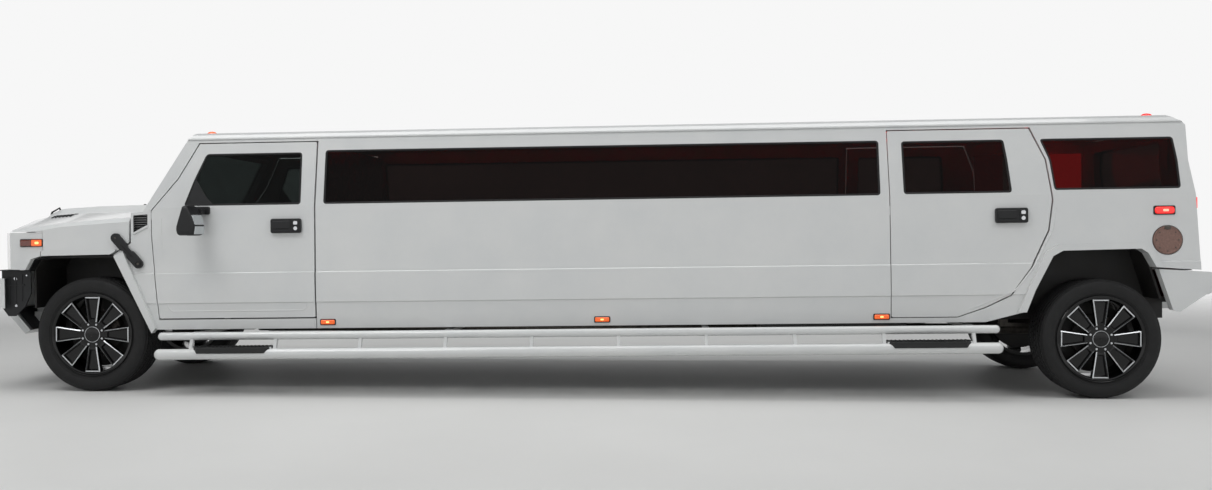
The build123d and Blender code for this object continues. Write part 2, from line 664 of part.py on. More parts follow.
# Front panel: grille surround with a corner piece and a short fender each side, bevelled in plan
NOSE_BEVEL = [(-634, SIDE_HW), (-727, SIDE_HW - 116)]
BEVEL_REACH = 200
BEVEL_LOW_Z = 880
CORNER_TOP_Z = 1296
FRONT_PANEL_X = FRONT - 750
FRONT_PANEL_DEPTH = 60
GUSSET = 130
GUSSET_Z = 1012
GRILLE_HW = 450
GRILLE_Z = (965, 1268)
LAMP_Y = 690
LAMP_HALF = 130
LAMP_Z = 1150
CORNER = front_points(
    [(-750, CORNER_TOP_Z), (-745, 1012), (-500, 1005), (-450, 1090), (-378, 1111), (-376, CORNER_TOP_Z)]
)
CORNER_FLARE = front_points(
    [(-500, 1005), (-450, 1090), (-378, 1111), (-376, 1150), (-480, 1130), (-540, 1005)]
)
with BuildPart() as front_panel:
    extrude(wall_face(FRONT_PANEL_X), amount=400)
    extrude(side_face(CORNER), amount=BODY_REACH, mode=Mode.INTERSECT)
    with BuildSketch(Plane.XZ.offset(SIDE_HW - WALL)) as flare:
        Polygon(*CORNER_FLARE, align=None)
    extrude(flare.sketch, amount=WALL + FLARE_OUT)
    panel_back = FRONT_PANEL_X + FRONT_PANEL_DEPTH
    wall_inside = SIDE_HW - WALL
    with BuildSketch(Plane.XY.offset(GUSSET_Z)) as gusset:
        Polygon(
            (panel_back, -(LAMP_Y + LAMP_HALF + 20)),
            (panel_back, -wall_inside - 5),
            (panel_back + GUSSET, -wall_inside - 5),
            (panel_back + GUSSET, -wall_inside),
            align=None,
        )
    extrude(gusset.sketch, amount=CORNER_TOP_Z - GUSSET_Z)
    mirror(about=Plane.XZ)
    with Locations((FRONT_PANEL_X, 0, CORNER_TOP_Z)):
        Box(
            FRONT_PANEL_DEPTH,
            2 * (SIDE_HW - 20),
            CORNER_TOP_Z - 900,
            align=(Align.MIN, Align.CENTER, Align.MAX),
        )
    (bevel_rear, bevel_hw), (bevel_front, front_hw) = NOSE_BEVEL
    slope = (bevel_hw - front_hw) / (bevel_rear - bevel_front)
    outer_hw = bevel_hw + slope * BEVEL_REACH
    for side in (-1, 1):
        with BuildSketch(Plane.XY.offset(BEVEL_LOW_Z)) as bevel:
            Polygon(
                (FRONT + bevel_rear + BEVEL_REACH, side * outer_hw),
                (FRONT + bevel_front - BEVEL_REACH, side * outer_hw),
                (FRONT + bevel_front - BEVEL_REACH, side * (front_hw - slope * BEVEL_REACH)),
                align=None,
            )
        extrude(bevel.sketch, amount=CORNER_TOP_Z, mode=Mode.SUBTRACT)
    with Locations((FRONT_PANEL_X, 0, sum(GRILLE_Z) / 2)):
        Box(400, 2 * GRILLE_HW, GRILLE_Z[1] - GRILLE_Z[0], mode=Mode.SUBTRACT)
    for side in (-1, 1):
        with Locations((HOOD_FRONT_X + 20, side * 600, CORNER_TOP_Z)):
            Box(30, 80, HOOD_SEAM - HINGE_SEAT, align=(Align.CENTER, Align.CENTER, Align.MIN))
        with Locations((FRONT_PANEL_X, side * LAMP_Y, LAMP_Z)):
            Box(400, 2 * LAMP_HALF, 2 * LAMP_HALF - 20, mode=Mode.SUBTRACT)
        with Locations((FRONT_PANEL_X + FRONT_PANEL_DEPTH, side * 400, 900)):
            Box(260, 60, 120, align=(Align.MIN, Align.CENTER, Align.MIN))
        with Locations((FRONT_PANEL_X + FRONT_PANEL_DEPTH + 60, side * 400, FRAME_TOP_Z)):
            Box(120, 60, 270, align=(Align.MIN, Align.CENTER, Align.MIN))
front_panel.part.label = "front_panel"

# Grille: upright bars between two rails, seated in its opening
BAR_COUNT = 9
BAR_WIDTH = 34
with BuildPart() as grille:
    height = GRILLE_Z[1] - GRILLE_Z[0]
    with Locations((FRONT_PANEL_X - 12, 0, GRILLE_Z[0] + height / 2)):
        Box(60, 2 * GRILLE_HW, height, align=(Align.MIN, Align.CENTER, Align.CENTER))
    slot = (2 * GRILLE_HW - BAR_COUNT * BAR_WIDTH) / (BAR_COUNT - 1)
    with Locations((FRONT_PANEL_X, 0, GRILLE_Z[0] + height / 2)):
        with GridLocations(1, slot + BAR_WIDTH, 1, BAR_COUNT - 1):
            Box(200, slot, height - 50, mode=Mode.SUBTRACT)
grille.part.label = "grille"

with BuildPart() as headlamps:
    for side in (-1, 1):
        with Locations((FRONT_PANEL_X + 4, side * LAMP_Y, LAMP_Z)):
            Box(80, 2 * LAMP_HALF, 2 * LAMP_HALF - 20, align=(Align.MIN, Align.CENTER, Align.CENTER))
        with Locations(Location((FRONT_PANEL_X + 4, side * LAMP_Y, LAMP_Z), (0, 90, 0))):
            Cylinder(96, 24)
headlamps.part.label = "headlamps"

# Front bumper with its skid plate
BUMPER_FRONT = FRONT - 905
BUMPER_HW = SIDE_HW - 11
BUMPER_BEND_Y = BUMPER_HW - 285
BUMPER_Z = 705
BUMPER_HEIGHT = 235
BUMPER_RETURN = 125
BUMPER_BACK_X = FRONT - 755
SKID_HW = 610
SKID = front_points([(-925, 706), (-925, 655), (-768, 470), (-722, 500), (-868, 672), (-868, 706)])
with BuildPart() as front_bumper:
    half = [
        (BUMPER_FRONT + 30, -BUMPER_BEND_Y),
        (BUMPER_FRONT + 80, -BUMPER_HW),
        (FRONT - 695, -BUMPER_HW),
        (BUMPER_BACK_X, BUMPER_RETURN - BUMPER_HW),
        (BUMPER_BACK_X, -BUMPER_BEND_Y),
    ]
    with BuildSketch(Plane.XY.offset(BUMPER_Z)):
        Polygon(*half, *[(x, -y) for x, y in reversed(half)], align=None)
    extrude(amount=BUMPER_HEIGHT)
    with Locations((FRONT - 790, 0, BUMPER_Z)):
        Box(90, 2 * 400, 170, align=(Align.MIN, Align.CENTER, Align.MAX))
    with BuildSketch(Plane.XZ.offset(-SKID_HW)) as skid:
        Polygon(*SKID, align=None)
    extrude(skid.sketch, amount=2 * SKID_HW)
    for side in (-1, 1):
        with Locations((FRONT - 700, side * 400, FRAME_BOTTOM_Z + 70)):
            Box(90, 80, 140, align=(Align.MAX, Align.CENTER, Align.CENTER))
front_bumper.part.label = "front_bumper"

# Rear bumper: a beam with wings that run forward to the arches
WING = rear_points([(420, 909), (788, 884), (846, 866), (852, 752), (788, 738), (571, 590), (521, 605)])
WING_OUT = 8
WING_DEPTH = 69
BEAM = rear_points([(745, 880), (788, 884), (846, 866), (852, 752), (788, 716), (745, 716)])
with BuildPart() as rear_bumper:
    extrude(side_face(WING), amount=SIDE_HW + WING_OUT)
    extrude(side_face(WING), amount=SIDE_HW + WING_OUT - WING_DEPTH, mode=Mode.SUBTRACT)
    mirror(about=Plane.XZ)
    with BuildSketch(Plane.XZ.offset(26 - SIDE_HW)) as beam:
        Polygon(*BEAM, align=None)
    extrude(beam.sketch, amount=2 * (SIDE_HW - 26))
    for side in (-1, 1):
        with Locations((REAR + FRAME_END, side * 400, FRAME_TOP_Z + 70)):
            Box(60, 80, 270, align=(Align.MIN, Align.CENTER, Align.CENTER))
rear_bumper.part.label = "rear_bumper"

LAMP_SEAT = 0.3
MARKER_Z = BELT_Z - 127

# Red lamps: corner lamps, side markers and the roof's rear row
with BuildPart() as tail_lamps:
    for side in (-1, 1):
        with Locations((REAR + 712, side * (POST_HW + 88), BELT_Z - 150)):
            Box(35, 130, 250, align=(Align.MIN, Align.CENTER, Align.CENTER))
        with Locations((REAR + 469, side * (side_hw(MARKER_Z - 30) + LAMP_SEAT + 9), MARKER_Z)):
            Box(150, 18, 60)
    for y in (-640, -320, 0, 320, 640):
        with Locations((REAR + 498, y, roof_z(max(abs(y) - 30, 0)) + LAMP_SEAT)):
            Box(80, 60, 26, align=(Align.CENTER, Align.CENTER, Align.MIN))
tail_lamps.part.label = "tail_lamps"

# Amber lamps: fender markers, sill markers and the roof's front row
with BuildPart() as amber_lamps:
    for side in (-1, 1):
        with Locations((FRONT - 466, side * (side_hw(1186) + LAMP_SEAT + 8), 1215)):
            Box(176, 16, 58)
        for x in (STRETCH_FRONT_X + 86, STRETCH_REAR_X - 2165, STRETCH_REAR_X - 68):
            with Locations((x, side * (side_hw(598) + LAMP_SEAT + 9), 575)):
                Box(120, 18, 46)
    for y in (-600, -300, 0, 300, 600):
        with Locations((FRONT + 824, y, roof_z(max(abs(y) - 35, 0)) + LAMP_SEAT)):
            Box(86, 70, 24, align=(Align.CENTER, Align.CENTER, Align.MIN))
amber_lamps.part.label = "amber_lamps"

# Hood: one clamshell with the upper fenders, a raised centre and a turned-down nose
HOOD_HW = SIDE_HW
HOOD_SKIN = 40
# Each station: distance from the front axle, half-width, heights of crease, shoulder and raised centre
HOOD_STATIONS = [
    (NOSE_BEVEL[1][0], NOSE_BEVEL[1][1], 1306, 1362, 1374),
    (NOSE_BEVEL[0][0], HOOD_HW, 1316, 1402, 1452),
    (-530, HOOD_HW, 1328, 1424, 1494),
    (-205, HOOD_HW, 1372, 1448, 1511),
    (340, HOOD_HW, 1406, 1452, 1519),
]
HOOD_LIP = front_points([(-370, 1113), (180, 1118), (222, 1144), (222, 1157), (-370, 1156)])
LIP_ROOT = 2
HOOD_LOWER = front_points(
    [
        (-727, CORNER_TOP_Z + HOOD_SEAM),
        (-370, CORNER_TOP_Z + HOOD_SEAM),
        (-370, 1113),
        (180, 1118),
        (316, 1208),
        (326, 1440),
        (326, 1600),
        (-727, 1600),
    ]
)


def hood_section(station, inset=0.0, shift=0.0):
    """Section of the hood at one station, or of its hollow with an inset."""
    x, reach, crease, shoulder, centre = station
    half = [
        (reach - inset, 1000 - 2 * inset),
        (reach - inset, crease - 34 - inset),
        (reach - 34 - inset, crease - inset),
        (640, shoulder - inset),
        (500, shoulder + 4 - inset),
        (430, centre - inset),
        (200, centre + 8 - inset),
    ]
    with BuildSketch(Plane.YZ.offset(FRONT + x + shift)) as face:
        Polygon(*half, *[(-y, z) for y, z in reversed(half)], align=None)
    return face.sketch


with BuildPart() as hood:
    loft([hood_section(station) for station in HOOD_STATIONS], ruled=True)
    hollow_shift = (HOOD_SKIN, HOOD_SKIN, 0, 0, 20)
    loft(
        [hood_section(row, HOOD_SKIN, shift) for row, shift in zip(HOOD_STATIONS, hollow_shift)],
        ruled=True,
        mode=Mode.SUBTRACT,
    )
    with BuildSketch(Plane.XZ.offset(-BODY_REACH)) as hood_keep:
        Polygon(*HOOD_LOWER, align=None)
    extrude(hood_keep.sketch, amount=2 * BODY_REACH, mode=Mode.INTERSECT)
    for side in (-1, 1):
        with BuildSketch(Plane.XZ.offset(-side * (HOOD_HW - LIP_ROOT))) as lip:
            Polygon(*HOOD_LIP, align=None)
        extrude(lip.sketch, amount=-side * (FLARE_OUT + LIP_ROOT))
hood.part.label = "hood"

# Latch straps of the hood, flat on its sides
LATCH_ENDS = front_points([(221, 1245), (398, 1042)])
LATCH_WIDTH = 72
LATCH_WAIST = 46
LATCH_LOBE = 0.32
LATCH_SEAT = 0.3
LATCH_STAND = 5
with BuildPart() as hood_latches:
    with BuildSketch(Plane.XZ.offset(HOOD_HW + LATCH_SEAT)) as foot:
        with Locations(LATCH_ENDS[0]):
            Circle(LATCH_WIDTH / 2)
    extrude(foot.sketch, amount=LATCH_STAND + 2)
    upper, lower = (Vector(x, z) for x, z in LATCH_ENDS)
    lobe = (lower - upper) * LATCH_LOBE
    with BuildSketch(Plane.XZ.offset(HOOD_HW + LATCH_STAND)) as strap:
        for ends in ((upper, upper + lobe), (lower - lobe, lower)):
            with Locations(*ends):
                Circle(LATCH_WIDTH / 2)
            with BuildLine() as spine:
                Line(*ends)
            trace(spine.line, line_width=LATCH_WIDTH)
        with BuildLine() as waist:
            Line(upper, lower)
        trace(waist.line, line_width=LATCH_WAIST)
    extrude(strap.sketch, amount=18)
    mirror(about=Plane.XZ)
hood_latches.part.label = "hood_latches"

# Front doors with their windows cut, handles and inner thickness
HANDLE_Z = BELT_Z - 150
HANDLE = (219, 62)
with BuildPart() as driver_door:
    extrude(wall_face(DOOR_FRONT_X), amount=DOOR_REAR_X - DOOR_FRONT_X)
    extrude(side_face(FRONT_DOOR, 12), amount=BODY_REACH, mode=Mode.INTERSECT)
    extrude(side_face(FRONT_WINDOW, WINDOW_CORNER), amount=BODY_REACH, mode=Mode.SUBTRACT)
    with Locations((FRONT + 1565, -SIDE_HW, HANDLE_Z)):
        Box(HANDLE[0], 34, HANDLE[1])
driver_door.part.label = "driver_door"

with BuildPart() as passenger_door:
    mirror(driver_door.part, about=Plane.XZ)
passenger_door.part.label = "passenger_door"

with BuildPart() as rear_left_door:
    extrude(wall_face(REAR_DOOR_X), amount=REAR - REAR_DOOR_X)
    extrude(side_face(REAR_DOOR, 12), amount=BODY_REACH, mode=Mode.INTERSECT)
    extrude(side_face(REAR_DOOR_WINDOW, WINDOW_CORNER), amount=BODY_REACH, mode=Mode.SUBTRACT)
    with Locations((REAR - 641, -SIDE_HW, HANDLE_Z)):
        Box(HANDLE[0], 34, HANDLE[1])
rear_left_door.part.label = "rear_left_door"

with BuildPart() as rear_right_door:
    mirror(rear_left_door.part, about=Plane.XZ)
rear_right_door.part.label = "rear_right_door"

with BuildPart() as driver_glass:
    extrude(pane_face(DOOR_FRONT_X), amount=DOOR_REAR_X - DOOR_FRONT_X)
    extrude(
        side_face(FRONT_WINDOW, WINDOW_CORNER, -GLASS_SEAT), amount=BODY_REACH, mode=Mode.INTERSECT
    )
driver_glass.part.label = "driver_glass"

with BuildPart() as passenger_glass:
    mirror(driver_glass.part, about=Plane.XZ)
passenger_glass.part.label = "passenger_glass"

with BuildPart() as rear_left_glass:
    extrude(pane_face(REAR_DOOR_X), amount=REAR - REAR_DOOR_X)
    extrude(
        side_face(REAR_DOOR_WINDOW, WINDOW_CORNER, -GLASS_SEAT), amount=BODY_REACH, mode=Mode.INTERSECT
    )
rear_left_glass.part.label = "rear_left_glass"

with BuildPart() as rear_right_glass:
    mirror(rear_left_glass.part, about=Plane.XZ)
rear_right_glass.part.label = "rear_right_glass"

# Door mirrors: a head that widens downwards and an arm to the door
MIRROR_HEAD = front_points(
    [
        (866, BELT_Z + 12),
        (898, BELT_Z + 12),
        (940, BELT_Z - 70),
        (962, BELT_Z - 140),
        (952, BELT_Z - 214),
        (822, BELT_Z - 214),
        (812, BELT_Z - 160),
    ]
)
MIRROR_Y = (SIDE_HW + 74, SIDE_HW + 272)
MIRROR_ARM_Z = BELT_Z - 30
MIRROR_SEAT = 0.3
with BuildPart() as mirror_left:
    with BuildSketch(Plane.XZ.offset(MIRROR_Y[0])) as head:
        Polygon(*MIRROR_HEAD, align=None)
        fillet(head.vertices(), 8)
    extrude(head.sketch, amount=MIRROR_Y[1] - MIRROR_Y[0])
    arm_root = side_hw(MIRROR_ARM_Z - 21) + MIRROR_SEAT
    with Locations((FRONT + 915, -arm_root, MIRROR_ARM_Z)):
        Box(50, MIRROR_Y[0] - arm_root + 30, 42, align=(Align.CENTER, Align.MAX, Align.CENTER))
mirror_left.part.label = "mirror_left"

with BuildPart() as mirror_right:
    mirror(mirror_left.part, about=Plane.XZ)
mirror_right.part.label = "mirror_right"

# Tailgate between the corner posts, with its window
TAILGATE_HW = POST_HW - DOOR_GAP
TAILGATE_DEPTH = 70
TAILGATE = rear_points(
    [(726, 896), (726, 912), (698, BELT_Z - 18), (667, REAR_BEND_Z - 20), (674, DOOR_TOP_Z)]
)
TAILGATE_WINDOW = (TAILGATE_HW - 136, WINDOW_LOW_Z + 15, WINDOW_HIGH_Z - 9)
with BuildPart() as tailgate:
    with BuildSketch(Plane.XZ.offset(-TAILGATE_HW)) as gate:
        Polygon(*TAILGATE, *[(x - TAILGATE_DEPTH, z) for x, z in reversed(TAILGATE)], align=None)
    extrude(gate.sketch, amount=2 * TAILGATE_HW)
    with BuildSketch(Plane.YZ.offset(REAR + 500)) as light:
        with Locations((0, (TAILGATE_WINDOW[1] + TAILGATE_WINDOW[2]) / 2)):
            RectangleRounded(2 * TAILGATE_WINDOW[0], TAILGATE_WINDOW[2] - TAILGATE_WINDOW[1], 40)
    extrude(light.sketch, amount=400, mode=Mode.SUBTRACT)
tailgate.part.label = "tailgate"

with BuildPart() as tailgate_glass:
    with BuildSketch(Plane.XZ.offset(-TAILGATE_HW)) as sheet:
        outer_line = [(x - GLASS_INSET, z) for x, z in TAILGATE]
        Polygon(*outer_line, *[(x - GLASS, z) for x, z in reversed(outer_line)], align=None)
    extrude(sheet.sketch, amount=2 * TAILGATE_HW)
    with BuildSketch(Plane.YZ.offset(REAR + 500)) as light:
        with Locations((0, (TAILGATE_WINDOW[1] + TAILGATE_WINDOW[2]) / 2)):
            RectangleRounded(
                2 * (TAILGATE_WINDOW[0] - GLASS_SEAT),
                TAILGATE_WINDOW[2] - TAILGATE_WINDOW[1] - 2 * GLASS_SEAT,
                40,
            )
    extrude(light.sketch, amount=400, mode=Mode.INTERSECT)
tailgate_glass.part.label = "tailgate_glass"

# Running boards: two tubes a side, posts between them, arms to the frame
STEP_UPPER = (SIDE_HW + 104, 485, 30)
STEP_LOWER = (SIDE_HW + 154, 352, 41)
STEP_FRONT_X = FRONT + 615
STEP_REAR_X = REAR - 790
ARM_DEPTH = 32
ARM_EVERY = 3
PAD_GAP = 20
with BuildPart() as running_boards:
    for y, z, radius in (STEP_UPPER, STEP_LOWER):
        with BuildSketch(Plane(origin=(STEP_FRONT_X, -y, z), x_dir=(0, 1, 0), z_dir=(1, 0, 0))) as tube:
            Circle(radius)
        extrude(tube.sketch, amount=STEP_REAR_X - STEP_FRONT_X)
    rail_side = RAIL_INNER_HW + RAIL_WIDTH
    arm_z = STEP_UPPER[1] + 10
    for index in range(POST_COUNT):
        x = POST_FRONT_X + index * POST_PITCH
        with BuildSketch(Plane.YZ.offset(x - 12)) as post:
            Polygon(
                (-STEP_UPPER[0] + 15, STEP_UPPER[1] - 5),
                (-STEP_UPPER[0] - 15, STEP_UPPER[1] - 5),
                (-STEP_LOWER[0] - 15, STEP_LOWER[1]),
                (-STEP_LOWER[0] + 15, STEP_LOWER[1]),
                align=None,
            )
        extrude(post.sketch, amount=24)
        if index % ARM_EVERY == 0:
            with Locations((x, -rail_side, arm_z)):
                Box(50, STEP_UPPER[0] - rail_side, ARM_DEPTH, align=(Align.CENTER, Align.MAX, Align.CENTER))
            with Locations((x, -rail_side, arm_z - ARM_DEPTH / 2)):
                Box(50, 12, 120, align=(Align.CENTER, Align.MAX, Align.MIN))
    for x in (POST_FRONT_X + POST_PITCH / 2, POST_REAR_X - POST_PITCH / 2):
        with Locations((x, -STEP_LOWER[0] + 30, STEP_LOWER[1] + 40)):
            Box(POST_PITCH - 2 * PAD_GAP, 90, 26)
    mirror(about=Plane.XZ)
running_boards.part.label = "running_boards"

# Cabin furniture
CABIN_FLOOR_Z = FRAME_TOP_Z + FLOOR_SKIN
CABIN_HW = BELT_HW - WALL - 55
PARTITION_X = STRETCH_FRONT_X + 12
PARTITION_DEPTH = 40
SEAT_Y = 400
SEAT_WIDTH = 520
SEAT_HEIGHT = 380
SEAT_BACK = front_points([(1400, 1000), (1530, 1000), (1700, 1690), (1600, 1700)])
BENCH_FRONT_X = PARTITION_X + 340
BENCH_REAR_X = STRETCH_REAR_X - 115
BENCH_DEPTH = 560
BENCH_HEIGHT = 420
BACKREST = 140
BACKREST_HEIGHT = 780
REAR_BENCH_DEPTH = 620
REAR_BENCH_HW = REAR_LINER_HW - 25
with BuildPart() as seats:
    for side in (-1, 1):
        with Locations((FRONT + 1270, side * SEAT_Y, CABIN_FLOOR_Z)):
            Box(SEAT_WIDTH, SEAT_WIDTH, SEAT_HEIGHT, align=(Align.CENTER, Align.CENTER, Align.MIN))
        with BuildSketch(Plane.XZ.offset(-side * SEAT_Y - SEAT_WIDTH / 2 + 10)) as back:
            Polygon(*SEAT_BACK, align=None)
        extrude(back.sketch, amount=SEAT_WIDTH - 20)
    for depth, height in ((BENCH_DEPTH, BENCH_HEIGHT), (BACKREST, BACKREST_HEIGHT)):
        with Locations((BENCH_FRONT_X, CABIN_HW, CABIN_FLOOR_Z)):
            Box(BENCH_REAR_X - BENCH_FRONT_X, depth, height, align=(Align.MIN, Align.MAX, Align.MIN))
    for depth, height in ((REAR_BENCH_DEPTH, BENCH_HEIGHT), (BACKREST, BACKREST_HEIGHT + 40)):
        with Locations((REAR + 190, 0, CABIN_FLOOR_Z)):
            Box(depth, 2 * REAR_BENCH_HW, height, align=(Align.MAX, Align.CENTER, Align.MIN))
seats.part.label = "seats"

DASH_X = BULKHEAD + BULKHEAD_DEPTH
DASH = front_points(
    [(DASH_X, COWL_Z - 8), (DASH_X, 1060), (640, 1060), (760, 1180), (780, 1330), (700, COWL_Z - 20)]
)
with BuildPart() as dashboard:
    with BuildSketch(Plane.XZ.offset(-CABIN_HW)) as dash:
        Polygon(*DASH, align=None)
    extrude(dash.sketch, amount=2 * CABIN_HW)
    wheel_plane = Plane(origin=(FRONT + 980, -SEAT_Y, 1270), x_dir=(0, 1, 0), z_dir=(0.9, 0, 0.44))
    with BuildSketch(wheel_plane):
        Circle(195)
        Circle(168, mode=Mode.SUBTRACT)
        Rectangle(350, 34)
        Circle(62)
    extrude(amount=26)
    with BuildSketch(wheel_plane.offset(4)) as column:
        Circle(30)
    extrude(column.sketch, amount=-330)
dashboard.part.label = "dashboard"

CABINET_REAR_X = STRETCH_REAR_X - 1115
with BuildPart() as lounge_cabinet:
    with Locations((PARTITION_X, 0, CABIN_FLOOR_Z)):
        Box(
            PARTITION_DEPTH,
            2 * (RAIL_HW - 82),
            RAIL_Z - 30 - CABIN_FLOOR_Z,
            align=(Align.MIN, Align.CENTER, Align.MIN),
        )
    with Locations((PARTITION_X + PARTITION_DEPTH, -CABIN_HW, CABIN_FLOOR_Z)):
        Box(
            CABINET_REAR_X - PARTITION_X - PARTITION_DEPTH,
            330,
            480,
            align=(Align.MIN, Align.MIN, Align.MIN),
        )
lounge_cabinet.part.label = "lounge_cabinet"


# Wheels stand upright on the ground, and the body leans over them
def hub_plane(x, y):
    """Section plane through a wheel's axis, local x outwards to the driver's side."""
    return Plane(origin=(x, y, TYRE_RADIUS), x_dir=(0, -1, 0), z_dir=(-1, 0, 0))


def build_tyre(x, side):
    """Tyre as a solid ring with rounded shoulders and bulged walls."""
    half = TYRE_WIDTH / 2
    with BuildPart() as tyre:
        with BuildSketch(hub_plane(x, side * WHEEL_Y)):
            with BuildLine():
                Polyline((-half + 28, BEAD_RADIUS + TYRE_SEAT), (half - 28, BEAD_RADIUS + TYRE_SEAT))
                Line((half - 28, BEAD_RADIUS + TYRE_SEAT), (half - 22, RIM_LIP_RADIUS + 6))
                ThreePointArc(
                    (half - 22, RIM_LIP_RADIUS + 6),
                    (half, RIM_LIP_RADIUS + 56),
                    (half - 12, TYRE_RADIUS - 26),
                )
                ThreePointArc(
                    (half - 12, TYRE_RADIUS - 26), (half - 22, TYRE_RADIUS - 10), (half - 42, TYRE_RADIUS - 4)
                )
                ThreePointArc(
                    (half - 42, TYRE_RADIUS - 4), (0, TYRE_RADIUS), (-half + 42, TYRE_RADIUS - 4)
                )
                ThreePointArc(
                    (-half + 42, TYRE_RADIUS - 4),
                    (-half + 22, TYRE_RADIUS - 10),
                    (-half + 12, TYRE_RADIUS - 26),
                )
                ThreePointArc(
                    (-half + 12, TYRE_RADIUS - 26),
                    (-half, RIM_LIP_RADIUS + 56),
                    (-half + 22, RIM_LIP_RADIUS + 6),
                )
                Line((-half + 22, RIM_LIP_RADIUS + 6), (-half + 28, BEAD_RADIUS + TYRE_SEAT))
            make_face()
        revolve(axis=Axis((x, 0, TYRE_RADIUS), (0, 1, 0)))
    return tyre


def spoke_half(radius):
    """Half-width of a spoke at a distance from the wheel's axis."""
    (root, root_half), (tip, tip_half) = SPOKE_ROOT, SPOKE_TIP
    return root_half + (tip_half - root_half) * (radius - root) / (tip - root)


def build_rim(x, side):
    """Rim: barrel with lips, disc of pocketed spokes near the outer face and a bored hub."""
    lip = RIM_WIDTH / 2
    barrel = [
        (-lip, BEAD_RADIUS - RIM_WALL),
        (-lip, RIM_LIP_RADIUS),
        (-lip + 9, RIM_LIP_RADIUS),
        (-lip + 13, BEAD_RADIUS),
        (lip - 13, BEAD_RADIUS),
        (lip - 9, RIM_LIP_RADIUS),
        (lip, RIM_LIP_RADIUS),
        (lip, BEAD_RADIUS - RIM_WALL),
    ]
    disc_y = side * DISC_Y
    face_plane = Plane(origin=(x, disc_y, TYRE_RADIUS), x_dir=(side, 0, 0), z_dir=(0, side, 0))
    with BuildPart() as rim:
        with BuildSketch(hub_plane(x, side * WHEEL_Y)):
            Polygon(*[(-side * u, r) for u, r in barrel], align=None)
        revolve(axis=Axis((x, 0, TYRE_RADIUS), (0, 1, 0)))
        with BuildSketch(face_plane) as web:
            Circle(HUB_RADIUS)
            with PolarLocations(0, SPOKE_COUNT):
                Polygon(
                    (SPOKE_ROOT[0], -SPOKE_ROOT[1]),
                    (SPOKE_TIP[0], -SPOKE_TIP[1]),
                    SPOKE_TIP,
                    SPOKE_ROOT,
                    align=None,
                )
        extrude(web.sketch, amount=DISC_DEPTH)
        root_half = spoke_half(POCKET_ROOT) - SPOKE_RIB
        tip_half = spoke_half(POCKET_TIP) - SPOKE_RIB
        with BuildSketch(face_plane.offset(DISC_DEPTH - POCKET_DEPTH)) as pockets:
            with PolarLocations(0, SPOKE_COUNT):
                Polygon(
                    (POCKET_ROOT, -root_half),
                    (POCKET_TIP, -tip_half),
                    (POCKET_TIP, tip_half),
                    (POCKET_ROOT, root_half),
                    align=None,
                )
        extrude(pockets.sketch, amount=2 * POCKET_DEPTH, mode=Mode.SUBTRACT)
        with BuildSketch(face_plane) as hub:
            Circle(HUB_RADIUS)
        extrude(hub.sketch, amount=-HUB_LENGTH)
        with BuildSketch(face_plane.offset(-HUB_LENGTH - 10)) as bore:
            Circle(HUB_BORE)
        extrude(bore.sketch, amount=HUB_LENGTH + 10 + DISC_DEPTH - HUB_CAP, mode=Mode.SUBTRACT)
        with BuildSketch(face_plane.offset(DISC_DEPTH - 16)) as lugs:
            with PolarLocations(LUG_CIRCLE / 2, LUG_COUNT):
                Circle(LUG_RADIUS)
        extrude(lugs.sketch, amount=40, mode=Mode.SUBTRACT)
    return rim


# Axle ends that the hubs run on
SPINDLE = HUB_BORE - AXLE_RUN_FIT
SPINDLE_TIP_Y = DISC_Y + DISC_DEPTH - HUB_CAP - 3
HUB_INNER_Y = DISC_Y - HUB_LENGTH
KINGPIN_RADIUS = 22
KINGPIN_HALF = 190
ARM_EYE_RADIUS = 44
ARM_EYE_HEIGHT = 46
ARM_HEIGHT = 150


def build_knuckle(side):
    """Steering knuckle: kingpin, upright and the spindle of a front wheel."""
    with BuildPart() as knuckle:
        with Locations((FRONT, side * KNUCKLE_Y, TYRE_RADIUS)):
            Cylinder(KINGPIN_RADIUS, 2 * KINGPIN_HALF)
            Box(90, 84, 2 * (ARM_HEIGHT - ARM_EYE_HEIGHT / 2 - 6))
        with BuildSketch(
            Plane(origin=(FRONT, side * KNUCKLE_Y, TYRE_RADIUS), x_dir=(1, 0, 0), z_dir=(0, side, 0))
        ) as pin:
            Circle(SPINDLE)
        extrude(pin.sketch, amount=SPINDLE_TIP_Y - KNUCKLE_Y)
    return knuckle


left_knuckle = build_knuckle(-1)
left_knuckle.part.label = "left_knuckle"
right_knuckle = build_knuckle(1)
right_knuckle.part.label = "right_knuckle"

# Front suspension arms, an upper and a lower pair, from the frame to the kingpins
ARM_ROOT_Y = RAIL_INNER_HW + RAIL_WIDTH
with BuildPart() as front_suspension:
    for height, spread in ((-ARM_HEIGHT, 210), (ARM_HEIGHT, 130)):
        with BuildSketch(Plane.XY.offset(TYRE_RADIUS + height - ARM_EYE_HEIGHT / 2)) as arm:
            Polygon(
                (FRONT - spread, -ARM_ROOT_Y),
                (FRONT - spread + 50, -ARM_ROOT_Y),
                (FRONT + 20, -KNUCKLE_Y + 40),
                (FRONT + spread - 50, -ARM_ROOT_Y),
                (FRONT + spread, -ARM_ROOT_Y),
                (FRONT + 30, -KNUCKLE_Y),
                (FRONT - 30, -KNUCKLE_Y),
                align=None,
            )
            with Locations((FRONT, -KNUCKLE_Y)):
                Circle(ARM_EYE_RADIUS)
                Circle(KINGPIN_RADIUS + AXLE_RUN_FIT, mode=Mode.SUBTRACT)
        extrude(arm.sketch, amount=ARM_EYE_HEIGHT)
    mirror(about=Plane.XZ)
front_suspension.part.label = "front_suspension"

